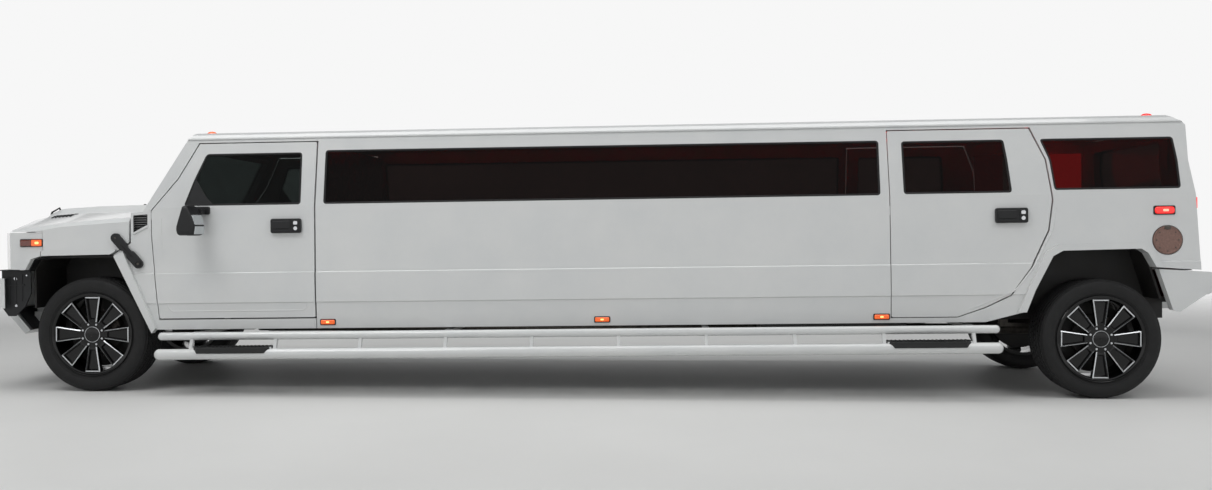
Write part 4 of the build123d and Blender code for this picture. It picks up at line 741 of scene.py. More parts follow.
WINDOWS = (
    # name, outline, bodies
    ("front_window_seal", FRONT_WINDOW, FRONT_DOORS),
    ("stretch_window_seal", STRETCH_WINDOW, CAR_BODY),
    ("rear_window_seal", REAR_DOOR_WINDOW, REAR_DOORS),
    ("quarter_window_seal", QUARTER_WINDOW, CAR_BODY),
)
for name, outline, bodies in WINDOWS:
    line = grown(rounded(outline, 26, 6), -5)
    for side, label in SIDES:
        bead(f"{name}_{label}", [on_side(line, side, -4)], 9, SEAL_RUBBER, bodies[side], flat=0.7)

# Wheels: moulded tyres with road tread, and cast wheels with eight pocketed spokes that have milled edges
TYRE_PROFILE = [
    (-131, 306), (-137, 330), (-150, 350), (-157, 372), (-158.5, 392), (-154, 410), (-147, 421), (-139, 431),
    (-128, 436), (-112, 435), (-60, 436), (0, 436.5), (60, 436), (112, 435), (128, 436), (139, 431),
    (147, 421), (154, 410), (158.5, 392), (157, 372), (150, 350), (137, 330), (131, 306),
]  # fmt: skip
TREAD_RIBS = (
    # middle, width, shift round the tyre as a part of a pitch
    (-116, 26, 0.0),
    (-70, 40, 0.35),
    (-23, 34, 0.1),
    (23, 34, 0.6),
    (70, 40, 0.85),
    (116, 26, 0.5),
)
TREAD_BASE = 433
# The tread is lower away from its middle: by so much, at so far
TREAD_FALL = 4
TREAD_HALF = 117
TREAD_PITCHES = 68
# Wheel's outline from its inner edge over the barrel's outside and back through its inside
BARREL = [
    (-146, 293), (-146, 322), (-144, 324), (-139, 324), (-137, 322), (-133, 305), (133, 305), (137, 322),
    (139, 324), (144, 324), (146, 322), (146, 318), (142, 312), (141, 300), (128, 294), (-100, 292),
]  # fmt: skip
SPOKES = 8
SPOKE_BACK = 92
SPOKE_ROWS = (
    # distance from the hub, half-width, pocket's half-width, pocket's depth, face
    (84, 30.5, 12, 1, 134),
    (118, 35.5, 19, 1, 136),
    (127, 36.7, 22, 15, 136.4),
    (200, 47.3, 33, 17, 137.2),
    (272, 57.6, 43, 17, 137.8),
    (281, 58.8, 44, 1, 137.8),
    (297, 61, 46, 1, 137.8),
)
# Milled edge of a spoke: its width, and how far it falls away from the face
EDGE_WIDTH = 6.5
EDGE_FALL = 5
LUGS = 8
LUG_CIRCLE = 82.5
LUG_FLOOR = 126


def tyre_shape():
    """Carcass with raised tread blocks and two moulded rings on each wall."""
    shapes = [lathed(TYRE_PROFILE, 96)]
    for side in (-1, 1):
        # Ring's radius, how far it stands out, distance of the wall under it from the tyre's middle
        for ring, bulge, wall in ((346, 3.2, 146.5), (426, 2.2, 141.5)):
            profile = [
                (side * (wall - 1), ring - 5),
                (side * (wall + bulge), ring - 3),
                (side * (wall + bulge), ring + 3),
                (side * (wall - 5), ring + 5),
            ]
            shapes.append(lathed(profile, 96))
    pitch = 2 * math.pi / TREAD_PITCHES
    for middle, width, shift in TREAD_RIBS:
        crown = TYRE_RADIUS - TREAD_FALL * (middle / TREAD_HALF) ** 2
        for index in range(TREAD_PITCHES):
            start = (index + shift) * pitch
            rings = []
            # Rows of a block: part of the pitch at which each lies, and its slant
            for part, slant in ((0.0, -0.12), (0.5, 0.0), (0.86, 0.0)):
                angle = start + part * pitch
                lean = slant * pitch
                section = (
                    (-width / 2, TREAD_BASE, lean),
                    (-width / 2 + 2, crown - 0.4, lean),
                    (0, crown, -lean),
                    (width / 2 - 2, crown - 0.4, lean),
                    (width / 2, TREAD_BASE, lean),
                )
                ring = []
                for u, r, shear in section:
                    ring.append((r * math.cos(angle + shear), middle + u, r * math.sin(angle + shear)))
                rings.append(ring)
            shapes.append(skinned(rings))
    return merged(*shapes)


def rim_shape():
    """Wheel seen from outside, axis along Y: its shape and, for each face, gloss black 0 or milled 1."""
    shapes, tones = [], []

    def take(shape, *numbers):
        """Adds a shape whose faces have the numbers in turn."""
        shapes.append(shape)
        count = len(shape[1])
        tones.extend((numbers * (count // len(numbers) + 1))[:count])

    take(lathed(BARREL, 96), 0)
    for middle in turn_angles(SPOKES):
        outward = Vector((math.cos(middle), 0, math.sin(middle)))
        across = Vector((-math.sin(middle), 0, math.cos(middle)))
        rows = []
        for r, half, pocket, depth, face in SPOKE_ROWS:
            floor_half = pocket - 4 if depth > 2 else pocket
            section = [
                (-half, SPOKE_BACK),
                (-half, face - EDGE_FALL),
                (-half + EDGE_WIDTH, face),
                (-pocket, face),
                (-floor_half, face - depth),
                (floor_half, face - depth),
                (pocket, face),
                (half - EDGE_WIDTH, face),
                (half, face - EDGE_FALL),
                (half, SPOKE_BACK),
            ]
            rows.append([tuple(outward * r + across * a + Vector((0, u, 0))) for a, u in section])
        section_tones = [0, 1, 0, 0, 0, 0, 0, 1, 0, 0]
        take(skinned(rows), *(section_tones * (len(rows) - 1)), 0, 0)
        # Milled strip across the spoke's outer end: distance from the hub, half-width, height
        bridge = ((283, 52, 137.2), (283, 52, 139), (291, 53, 139), (291, 53, 137.2))
        ends = []
        for way in (-1, 1):
            end = [outward * r + across * way * half + Vector((0, u, 0)) for r, half, u in bridge]
            ends.append([tuple(point) for point in end])
        take(skinned(ends), 1)
    take(lathed([(74, 30), (136, 30), (136, 99), (132, 103), (92, 103), (74, 98)], 64), 0)
    well = lathed([(136.4, 15.5), (136.4, 13.5), (LUG_FLOOR, 12.5), (LUG_FLOOR, 0.5)], 20, closed=False)
    nut_rows = ((LUG_FLOOR, 10.5), (135, 10), (138, 8), (139, 3))
    nut = skinned([standing(circle(0, 0, r, 6), u) for u, r in nut_rows])
    for index in range(LUGS):
        angle = 2 * math.pi * (index + 0.5) / LUGS
        place = Matrix.Translation((LUG_CIRCLE * math.cos(angle), 0, LUG_CIRCLE * math.sin(angle)))
        take(moved(well, place), 0)
        take(moved(nut, place), 1)
    cap = [(128, 57), (137, 57), (140, 54), (142, 46), (143, 26), (143.4, 12), (141.8, 10), (141.8, 0.5)]
    take(lathed(cap, 48, closed=False), 0)
    take(lathed([(136.6, 61.5), (138.2, 60.5), (138.2, 58), (136.6, 57.2)], 48), 1)
    return merged(*shapes), tones


tyre = tyre_shape()
rim, rim_tones = rim_shape()

# Behind the wheels: vented brake discs that turn with them, calipers and dust shields that don't
brake_disc = lathed(
    [
        (-2, 70), (-2, 172), (4, 174), (8, 174), (9, 170),
        (15, 170), (16, 174), (22, 174), (26, 172), (26, 70),
    ],
    64,
)  # fmt: skip
CALIPER_SECTION = ((118, -22), (180, -22), (186, -8), (186, 30), (178, 40), (118, 40))
caliper_rings = []
for degrees in (20, 30, 40, 50, 60):
    a = math.radians(degrees)
    caliper_rings.append([(r * math.cos(a), u, r * math.sin(a)) for r, u in CALIPER_SECTION])
caliper = merged(skinned(caliper_rings), disc(132, 62, 36, 48, 20))
dust_shield = lathed([(-32, 84), (-36, 150), (-34, 256), (-28, 262), (-26, 258), (-31, 150), (-28, 84)], 48)
CORNERS = (
    # name, distance along the car, side, body that carries what doesn't turn with the wheel
    ("front_left", FRONT, -1, "left_knuckle"),
    ("front_right", FRONT, 1, "right_knuckle"),
    ("rear_left", REAR, -1, "car"),
    ("rear_right", REAR, 1, "car"),
)
for corner, x, side, holder in CORNERS:
    wheel = corner + "_wheel"
    hub = Matrix.Translation((x, side * WHEEL_Y, TYRE_RADIUS)) @ Matrix.Scale(side, 4, (0, 1, 0))
    tread = piece(corner + "_road_tyre", moved(tyre, hub), TYRE_RUBBER, wheel, leaned=False, sharp=30)
    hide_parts(corner + "_tyre")
    cast = piece(
        corner + "_cast_wheel",
        moved(rim, hub),
        (GLOSS_BLACK, MILLED_ALUMINIUM),
        wheel,
        leaned=False,
        sharp=30,
        tones=rim_tones,
    )
    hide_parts(corner + "_rim")
    piece(corner + "_brake_disc", moved(brake_disc, hub), CAST_IRON, wheel, leaned=False)
    piece(corner + "_brake_caliper", moved(caliper, hub), FORGED_STEEL, holder, leaned=False, bevel=2)
    piece(corner + "_dust_shield", moved(dust_shield, hub), CHASSIS_BLACK, holder, leaned=False)

# Door handles: a black pull beside its lock
HANDLES = (
    # name, x, bodies
    ("front_handle", FRONT + 1565, FRONT_DOORS),
    ("rear_handle", REAR - 641, REAR_DOORS),
)
HANDLE_Z = 1320
for name, x, bodies in HANDLES:
    pull_x, lock_x = x - 34, x + 80
    for side, label in SIDES:
        base = raised(oblong(x, HANDLE_Z, 236, 112, 18), side, 27, 8)
        pull = raised(oblong(pull_x, HANDLE_Z + 8, 146, 62, 14), side, 34, -20, 4)
        grip = raised(oblong(pull_x, HANDLE_Z - 38, 132, 14, 6), side, 31, -20, 2)
        lock = raised(oblong(lock_x, HANDLE_Z, 54, 88, 12), side, 32, -20, 3)
        lock_y = side * (side_hw(HANDLE_Z) + 28)
        barrel = disc(lock_x, HANDLE_Z - 20, lock_y - 7, lock_y + 7, 15)
        button = slab(oblong(lock_x, HANDLE_Z + 22, 32, 26, 7), lock_y - 7, lock_y + 7)
        piece(f"{name}_{label}", merged(base, pull, grip, lock), BLACK_PLASTIC, bodies[side], bevel=1.5)
        piece(f"{name}_lock_{label}", merged(barrel, button), CHROME, bodies[side], bevel=1)

# Side vents behind the hood: louvres in the pocket, a white lip under them
VENT_LOW_Z = 1284
VENT_RISE = 56
VENT_LENGTH = 105
VENT = front_points([(354, VENT_LOW_Z), (354, 1416), (464, 1424), (462, 1340)])
VENT_LIP = rounded(front_points([(352, VENT_LOW_Z), (352, 1266), (470, 1324), (466, 1344)]), 7, 3)
for side, label in SIDES:
    slats = []
    for row in range(7):
        z = 1300 + row * 18
        start = FRONT + 356
        # The lowest slats are shorter, because the pocket's foot rises towards the rear
        end = start + VENT_LENGTH * min(1, (z - VENT_LOW_Z) / VENT_RISE)
        rings = []
        for inside, low in ((26, z + 8), (3, z - 6)):
            y = side * (side_hw(z) - inside)
            rings.append(standing([(start, low), (end, low), (end, low + 3), (start, low + 3)], y))
        slats.append(skinned(rings))
    back = raised(VENT, side, -26, 29, 0.5)
    frame_line = [on_side(grown(rounded(VENT, 8, 3), -2), side, -1)]
    piece(f"side_vent_louvres_{label}", merged(back, *slats), BLACK_PLASTIC, "car", bevel=0.8)
    bead(f"side_vent_frame_{label}", frame_line, 3.5, BLACK_PLASTIC, "car")
    piece(f"side_vent_lip_{label}", raised(VENT_LIP, side, 9, 3), WHITE_PAINT, "car", bevel=3)

# Hood: latch rings, screws and ribs, vent slots in its shoulders, two pulls near its nose, washer jets
LATCH_X, LATCH_Z = FRONT + 398, 1042
LATCH_Y = 1019
for side, label in SIDES:
    ring = [standing(circle(LATCH_X, LATCH_Z, 20), side * (LATCH_Y + 1))]
    bead(f"latch_ring_{label}", ring, 4.5, SEAL_RUBBER, "hood")
    y0, y1 = side * LATCH_Y - 3, side * LATCH_Y + 3
    screws = merged(disc(LATCH_X, LATCH_Z, y0, y1, 9, 12), disc(FRONT + 221, 1245, y0, y1, 8, 12))
    piece(f"latch_screws_{label}", screws, FORGED_STEEL, "hood", bevel=1)
    ribs = []
    for step in range(5):
        place = at(FRONT + 284 + step * 13, side * LATCH_Y, 1173 - step * 15, (41, "Y"))
        ribs.append(moved(block(-30, 30, -3, 3, -3, 3), place))
    piece(f"latch_ribs_{label}", merged(*ribs), SEAL_RUBBER, "hood", bevel=1.5)

# Hood surface, found from above, so that its slots, pulls and washer jets lie on it


def on_hood(x, y):
    """Height of the hood's outside over a point, in body millimetres."""
    above = LEAN @ Vector((x * MM, y * MM, 2))
    down = LEAN.to_3x3() @ Vector((0, 0, -1))
    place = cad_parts["hood"].ray_cast(above, down)[1]
    return (LEAN.inverted() @ place).z / MM


for side, label in SIDES:
    slots = []
    for row in range(6):
        x = FRONT - 470 + row * 30
        slots.append([(x, side * y, on_hood(x, side * y) + 1.5) for y in (580, 620, 660, 700)])
    bead(f"hood_slots_{label}", slots, 6, BLACK_PLASTIC, "hood", cyclic=False)
pulls = []
for y in (-420, 420):
    x0, x1 = FRONT - 640, FRONT - 560
    low, high = on_hood(x0, y), on_hood(x1, y)
    pulls.append([(x0, y, low - 2), (x0 + 8, y, low + 20), (x1 - 8, y, high + 20), (x1, y, high - 2)])
bead("hood_pulls", pulls, 8, BLACK_PLASTIC, "hood", cyclic=False)
washers = [moved(dome(13, 9, 16, 4), at(FRONT + 120, y, on_hood(FRONT + 120, y) - 1)) for y in (-330, 330)]
piece("washer_jets", merged(*washers), BLACK_PLASTIC, "hood")

# Mirrors: a shell domed towards the front, two glasses in its rear face, an arm and a bracket at the belt
MIRROR_OUTLINE = rounded(
    front_points([(866, 1482), (898, 1482), (940, 1400), (962, 1330), (952, 1256), (822, 1256), (812, 1310)]),
    22,
    4,
)
MIRROR_MIDDLE = (FRONT + 890, 1362)
MIRROR_ROWS = (
    # distance from the car's middle, size of the outline there
    (1070, 0.72),
    (1073, 0.86),
    (1084, 0.96),
    (1104, 1.0),
    (1234, 1.0),
    (1254, 0.96),
    (1265, 0.87),
    (1268, 0.74),
)
MIRROR_ARM = rounded(front_points([(892, 1422), (938, 1422), (938, 1458), (892, 1458)]), 12, 3)
MIRROR_GLASSES = (
    front_points([(934, 1409), (938, 1411), (963, 1337), (959, 1335)]),
    front_points([(961, 1324), (965, 1324), (956, 1264), (952, 1264)]),
)
WINDOW_SAIL = rounded(front_points([(768, 1494), (985, 1494), (930, 1548), (842, 1684), (831, 1684)]), 12, 3)


def mirror_ring(y, scale):
    """Mirror shell's outline at a distance from the middle, shrunk towards its own middle."""
    cx, cz = MIRROR_MIDDLE
    return [(cx + (x - cx) * scale, y, cz + (z - cz) * scale) for x, z in MIRROR_OUTLINE]


for side, label in SIDES:
    body = FRONT_DOORS[side]
    shell = skinned([mirror_ring(side * y, scale) for y, scale in MIRROR_ROWS])
    stem = slab(MIRROR_ARM, side * 984, side * 1078)
    foot = raised(oblong(FRONT + 905, 1447, 118, 62, 16), side, 20, 8)
    shell = piece(f"mirror_shell_{label}", merged(shell, stem, foot), BLACK_PLASTIC, body, sharp=44)
    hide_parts(f"mirror_{label}")
    bead(f"mirror_seam_{label}", [mirror_ring(side * 1118, 1.002)], 1.6, SEAL_RUBBER, body)
    panes = merged(*[slab(outline, side * 1090, side * 1250) for outline in MIRROR_GLASSES])
    piece(f"mirror_glasses_{label}", panes, MIRROR_GLASS, body, bevel=1)
    piece(f"window_sail_{label}", raised(WINDOW_SAIL, side, -1, 5, 1), BLACK_PLASTIC, body)

# Marker lamps: dark bezels, ribbed lenses, a brighter spot over each bulb
FENDER_LAMP_Z = 1215
SILL_LAMP_Z = 575
ROOF_OVAL = Matrix.Diagonal((1, 0.8, 1, 1))
amber_bezels, amber_dark, amber_lit, amber_spots = [], [], [], []
for side in (-1, 1):
    amber_bezels.append(raised(oblong(FRONT - 466, FENDER_LAMP_Z, 184, 62, 12), side, 7, 3))
    amber_dark.append(raised(oblong(FRONT - 509, FENDER_LAMP_Z, 88, 50, 9), side, 14, 0, 5))
    amber_lit.append(raised(oblong(FRONT - 422, FENDER_LAMP_Z, 84, 50, 9), side, 15, 0, 5))
    amber_spots.append(raised(oblong(FRONT - 416, FENDER_LAMP_Z, 34, 20, 9), side, 15.6, 0, 1))
    for x in (FRONT + 1878, 148.5, REAR - 1600):
        amber_bezels.append(raised(oblong(x, SILL_LAMP_Z, 124, 48, 12), side, 6, 3))
        amber_lit.append(raised(oblong(x, SILL_LAMP_Z, 108, 34, 9), side, 13, 0, 5))
        amber_spots.append(raised(oblong(x, SILL_LAMP_Z, 26, 14, 6), side, 13.6, 0, 1))
roof_feet, roof_domes, roof_spots = [], [], []
for y in (-600, -300, 0, 300, 600):
    x, z = FRONT + 824, roof_z(y) - 1
    roof_feet.append(moved(turned([(1, 0), (46, 0), (46, 4), (40, 7), (1, 7)]), at(x, y, z) @ ROOF_OVAL))
    roof_domes.append(moved(dome(40, 22), at(x, y, z + 6) @ ROOF_OVAL))
    roof_spots.append(moved(dome(15, 23.5, 12, 3), at(x, y, z + 5.5)))
piece("marker_bezels", merged(*amber_bezels, *roof_feet), BLACK_PLASTIC, "car", bevel=1)
ambers = piece("amber_marker_lenses", merged(*amber_lit, *roof_domes), AMBER_LIT, "car", bevel=1)
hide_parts("amber_lamps")
piece("fender_dark_lenses", merged(*amber_dark), AMBER_DARK, "car", bevel=1)
piece("amber_bulb_spots", merged(*amber_spots, *roof_spots), AMBER_BULB, "car")

QUARTER_LAMP_Z = 1343
red_feet, red_lenses, red_spots = [], [], []
for y in (-640, -320, 0, 320, 640):
    x, z = REAR + 498, roof_z(y) - 3
    red_feet.append(moved(turned([(1, 0), (50, 0), (50, 5), (44, 9), (1, 9)]), at(x, y, z)))
    red_lenses.append(moved(dome(42, 21), at(x, y, z + 7)))
    red_spots.append(moved(dome(15, 22.5, 12, 3), at(x, y, z + 6.5)))
for side in (-1, 1):
    red_feet.append(raised(oblong(REAR + 469, QUARTER_LAMP_Z, 158, 68, 14), side, 7, 3))
    red_lenses.append(raised(oblong(REAR + 469, QUARTER_LAMP_Z, 142, 52, 22), side, 15, 0, 6))
    red_spots.append(raised(oblong(REAR + 475, QUARTER_LAMP_Z, 42, 18, 9), side, 15.8, 0, 1))
    red_feet.append(block(REAR + 708, REAR + 734, side * 783, side * 917, 1193, 1447))
    for z0, z1 in ((1203, 1293), (1355, 1437)):
        middle = (z0 + z1) / 2
        y0, y1 = side * 832, side * 868
        red_lenses.append(block(REAR + 728, REAR + 748, side * 793, side * 907, z0, z1))
        red_spots.append(block(REAR + 747.4, REAR + 748.6, y0, y1, middle - 14, middle + 14))
piece("red_lamp_bezels", merged(*red_feet), BLACK_PLASTIC, "car", bevel=2)
reds = piece("red_lamp_lenses", merged(*red_lenses), RED_LIT, "car", bevel=3)
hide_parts("tail_lamps")
piece("red_bulb_spots", merged(*red_spots), RED_BULB, "car")
reversing = both(block(REAR + 728, REAR + 745, -907, -793, 1302, 1346))
piece("reversing_lenses", reversing, LAMP_GLASS, "car", bevel=3)

# Headlamps: a bowl, a bulb and a clear dome in a black plate with ribs along its foot
HEADLAMP_BOWL = [(95, 3), (93, -2), (80, -16), (58, -30), (30, -39), (10, -41), (0.5, -41)]
HEADLAMP_RING = [(94, -6), (108, -6), (112, 0), (109, 6), (99, 8), (94, 4)]
bowls, bulbs, plates, domes, rings = [], [], [], [], []
for y in (-690, 690):
    place = at(FRONT - 742, y, 1150, (-90, "Y"))
    bowls.append(moved(turned(HEADLAMP_BOWL), place))
    bulbs.append(moved(turned([(9, -41), (9, -22), (6, -17), (0.5, -16)]), place))
    domes.append(moved(dome(95, 11, 48, 6), place @ Matrix.Translation((0, 0, 1))))
    rings.append(moved(turned(HEADLAMP_RING, 64, closed=True), place))
    plates.append(block(FRONT - 701, FRONT - 667, y - 131, y + 131, 1029, 1271))
    for step in range(4):
        plates.append(block(FRONT - 712, FRONT - 700, y - 126, y + 126, 1036 + step * 7, 1039 + step * 7))
lamps = piece("headlamp_bowls", merged(*bowls), CHROME, "car")
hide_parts("headlamps")
piece("headlamp_bulbs", merged(*bulbs), LAMP_GLASS, "car")
piece("headlamp_domes", merged(*domes), LAMP_GLASS, "car")
piece("headlamp_rings", merged(*rings), CHROME, "car")
piece("headlamp_plates", merged(*plates), BLACK_PLASTIC, "car", bevel=2)

# Grille: crossed mesh bars and a black back behind its own bars
mesh_bars = [block(FRONT - 741, FRONT - 738, -446 + i * 24, -443 + i * 24, 968, 1266) for i in range(38)]
mesh_bars += [block(FRONT - 739, FRONT - 736, -448, 448, 972 + i * 22, 975 + i * 22) for i in range(14)]
back = block(FRONT - 722, FRONT - 718, -448, 448, 966, 1267)
piece("grille_mesh", merged(back, *mesh_bars), BLACK_PLASTIC, "car")

# Front bumper: fog lamps, tow loops, bolts, and black splash shields between its ends and the tyres
fog_rings, fog_glass, fog_bowls = [], [], []
for y in (-560, 560):
    place = at(FRONT - 872, y, 822, (-90, "Y"))
    fog_rings.append(moved(turned([(52, -4), (66, -4), (68, 2), (64, 7), (54, 6)], 48, closed=True), place))
    fog_bowls.append(moved(turned([(54, 4), (40, 1.4), (0.5, 1.2)]), place))
    fog_glass.append(moved(dome(54, 9, 32, 4), place @ Matrix.Translation((0, 0, 3))))
piece("fog_lamp_rings", merged(*fog_rings), BLACK_PLASTIC, "car")
piece("fog_lamp_bowls", merged(*fog_bowls), CHROME, "car")
piece("fog_lamp_glasses", merged(*fog_glass), LAMP_GLASS, "car")
TOW_LOOP = ((868, -38), (896, -34), (904, 0), (896, 34), (868, 38))
loops = [[(FRONT - x, y + dy, 800) for x, dy in TOW_LOOP] for y in (-330, 330)]
bead("tow_loops", loops, 11, CHASSIS_BLACK, "car", cyclic=False)
SHIELD = front_points(
    [(-747, 1004), (-512, 1004), (-512, 820), (-560, 716), (-640, 640), (-700, 640), (-747, 706)]
)
SHIELD_Y = 936
SHIELD_RIBS = ((-690, 740), (-640, 740), (-590, 760))
SHIELD_BOLTS = (
    # distance from the front axle, height, radius
    (-636, 935, 15),
    (-634, 722, 11),
    (-545, 960, 8),
)
for side, label in SIDES:
    plate = slab(SHIELD, side * 922, side * SHIELD_Y)
    y0, y1 = side * SHIELD_Y, side * (SHIELD_Y + 5)
    ribs = [block(FRONT + x, FRONT + x + 12, y0, y1, z, z + 210) for x, z in SHIELD_RIBS]
    ledge = block(FRONT - 720, FRONT - 560, side * SHIELD_Y, side * 944, 880, 892)
    piece(f"splash_shield_{label}", merged(plate, ledge, *ribs), BLACK_PLASTIC, "car", bevel=3)
    foot = side * (SHIELD_Y + 1)
    bolts = [disc(FRONT + x, z, foot, foot + 7, r, 6) for x, z, r in SHIELD_BOLTS]
    piece(f"splash_shield_bolts_{label}", merged(*bolts), CHROME, "car", bevel=1.5)
bolt = turned([(0.5, 8), (11, 7), (12, 3), (12, -2)], 6)
bolts = [moved(bolt, at(FRONT - 876, y, 880, (-90, "Y"))) for y in (-660, -440, 440, 660)]
piece("bumper_bolts", merged(*bolts), FORGED_STEEL, "car")

# Wipers parked low on the windscreen, and the seal round it
FOOT, HEAD = Vector((FRONT + 425, 0, 1440)), Vector((FRONT + 735, 0, 1980))
UP_SCREEN = (HEAD - FOOT).normalized()
OFF_SCREEN = Vector((-UP_SCREEN.z, 0, UP_SCREEN.x))


def on_screen(y, up, off):
    """Point on the windscreen: distance from the middle, distance up from its foot, height off the glass."""
    return tuple(FOOT + Vector((0, y, 0)) + UP_SCREEN * up + OFF_SCREEN * off)


WIPER_ARM = ((0, -6, 16), (20, 6, 26), (240, 74, 24), (262, 80, 16))
WIPER_BLADE = ((-20, 52, 13), (240, 74, 13), (520, 98, 13))
WIPER_YS = (-590, 30)
arms = [[on_screen(y + dy, up, off) for dy, up, off in WIPER_ARM] for y in WIPER_YS]
blades = [[on_screen(y + dy, up, off) for dy, up, off in WIPER_BLADE] for y in WIPER_YS]
bead("wiper_arms", arms, 7, BLACK_PLASTIC, "car", cyclic=False)
bead("wiper_blades", blades, 6, SEAL_RUBBER, "car", cyclic=False)
edge = [[on_screen(y, up, 3) for y, up in ((-842, 14), (-762, 600), (762, 600), (842, 14))]]
bead("windscreen_seal", edge, 9, SEAL_RUBBER, "car")

# Creases pressed in the front doors, and the doubled edge behind the rear doors
FRONT_CREASE = rounded(
    front_points([(575, 1452), (575, 1257), (618, 700), (650, 668), (1690, 668), (1722, 700), (1722, 1452)]),
    60,
    5,
)
REAR_EDGE = rounded(
    rear_points([(-985, 610), (-800, 686), (-614, 764), (-466, 954), (-333, 1222), (-309, 1420)]), 40, 4
)
for side, label in SIDES:
    crease = [on_side(FRONT_CREASE[5:-5], side, -1)]
    bead(f"front_door_crease_{label}", crease, 6, WHITE_PAINT, FRONT_DOORS[side], cyclic=False, flat=0.5)
    line = [on_side(REAR_EDGE[4:-4], side, -1)]
    bead(f"rear_edge_crease_{label}", line, 7, WHITE_PAINT, "car", cyclic=False, flat=0.5)

# Steps: ridged black pads at both ends, rounded tube ends
PAD_XS = (FRONT + 1186, FRONT + 1186 + 5218.4)
# Inner edge and top that all sections of a pad share, and the inner edge of their undersides
PAD_TOP = ((-1072, 377), (-1072, 408), (-1148, 409))
PAD_FOOT_Y = -1147
PAD_SECTIONS = (
    # distance from the pad's middle, outer edge, underside
    (-309, -1152, 393),
    (-258, -1197, 360),
    (258, -1197, 360),
    (309, -1152, 393),
)
pads, ends = [], []
for x in PAD_XS:
    sections = []
    for dx, edge_y, low in PAD_SECTIONS:
        rows = (*PAD_TOP, (edge_y + 2, 403), (edge_y, 399), (edge_y, low), (PAD_FOOT_Y, low))
        sections.append([(x + dx, y, z) for y, z in rows])
    pads.append(skinned(sections))
    pads += [block(x - 300 + i * 30, x - 288 + i * 30, -1160, -1080, 407, 412) for i in range(20)]
for x, way in ((FRONT + 615, -90), (REAR - 790, 90)):
    for y, z, radius in ((-1100, 485, 30), (-1150, 352, 41)):
        ends.append(moved(dome(radius, radius * 0.8), at(x, y, z, (way, "Y"))))
piece("step_pads", both(merged(*pads)), STEP_BLACK, "car", bevel=2)
piece("step_tube_ends", both(merged(*ends)), WHITE_PAINT, "car")

# Fuel door: a rim, screws round it and a finger tab
FUEL_X, FUEL_Z = REAR + 489, 1122
FUEL_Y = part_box("fuel_door")[0].y / MM
fuel_rim = [standing(circle(FUEL_X, FUEL_Z, 97, 64), FUEL_Y)]
bead("fuel_door_rim", fuel_rim, 6, BRONZE_ANODISED, "fuel_door", flat=0.6)
screw = disc(0, 0, -4, 1, 5, 8)
screws = [moved(screw, at(x, FUEL_Y, z)) for x, z in circle(FUEL_X, FUEL_Z, 80, 8)]
piece("fuel_door_screws", merged(*screws), FORGED_STEEL, "fuel_door", bevel=1)
tab = slab(oblong(FUEL_X, FUEL_Z + 92, 46, 26, 8), FUEL_Y + 2, FUEL_Y - 6)
piece("fuel_door_tab", tab, FORGED_STEEL, "fuel_door", bevel=1.5)

# Tailgate: window seal, pull, bare plate in its recess, wiper; a ridged step on the rear bumper
# Outside of the tailgate: (height, distance from the rear axle)
TAIL_LINE = ((880, 726), (912, 726), (1452, 698), (1713, 667), (1980, 674))


def tail_x(z):
    """Outside of the tailgate at a height."""
    return REAR + along(TAIL_LINE, z)


def on_tail(outline, proud):
    """Rear-view outline of (y, z) points laid on the tailgate."""
    return [(tail_x(z) + proud, y, z) for y, z in outline]


def tail_plate(outline, proud, depth):
    """Plate on the tailgate, from depth inside it to proud of it."""
    return skinned([on_tail(outline, -depth), on_tail(outline, proud)])


WINDOW = [(-620, 1500), (-620, 1713), (-600, 1880), (600, 1880), (620, 1713), (620, 1500)]
bead("tailgate_window_seal", [on_tail(rounded(WINDOW, 30, 5), 1)], 9, SEAL_RUBBER, "tailgate")
piece("tailgate_pull", tail_plate(oblong(0, 1250, 260, 60, 16), 26, 6), BLACK_PLASTIC, "tailgate", bevel=3)
piece("plate_recess", tail_plate(oblong(0, 1080, 560, 170, 20), 4, 2), BLACK_PLASTIC, "tailgate", bevel=2)
piece("bare_plate", tail_plate(oblong(0, 1076, 312, 158, 10), 9, -3), MILLED_ALUMINIUM, "tailgate", bevel=1)
plate_lamp = [block(tail_x(1172) - 2, tail_x(1172) + 16, y - 40, y + 40, 1168, 1186) for y in (-90, 90)]
piece("plate_lamps", merged(*plate_lamp), BLACK_PLASTIC, "tailgate", bevel=2)
arm = [on_tail([(0, 1470), (-30, 1520), (-330, 1556)], 16)]
bead("tailgate_wiper", arm, 8, BLACK_PLASTIC, "tailgate", cyclic=False)
HIGH_CREASE = [(-720, 1440), (720, 1440)]
LOW_CREASE = [(-720, 1200), (-420, 1200), (-380, 960), (380, 960), (420, 1200), (720, 1200)]
creases = [on_tail(HIGH_CREASE, -1), on_tail(LOW_CREASE, -1)]
bead("tailgate_creases", creases, 6, WHITE_PAINT, "tailgate", cyclic=False)
treads = [block(REAR + 756, REAR + 846, -620, 620, 882, 886)]
treads += [block(REAR + 762, REAR + 842, -610 + i * 31, -598 + i * 31, 885, 890) for i in range(40)]
piece("bumper_step", merged(*treads), STEP_BLACK, "car")
REAR_LOOP = ((778, 718), (782, 692), (808, 678), (834, 692), (838, 718))
hooks = [standing(rear_points(REAR_LOOP), y) for y in (-500, 500)]
bead("rear_tow_loops", hooks, 9, CHASSIS_BLACK, "car", cyclic=False)

# Cabin: cushions blown up by a short cloth simulation, on plinths and a seat frame


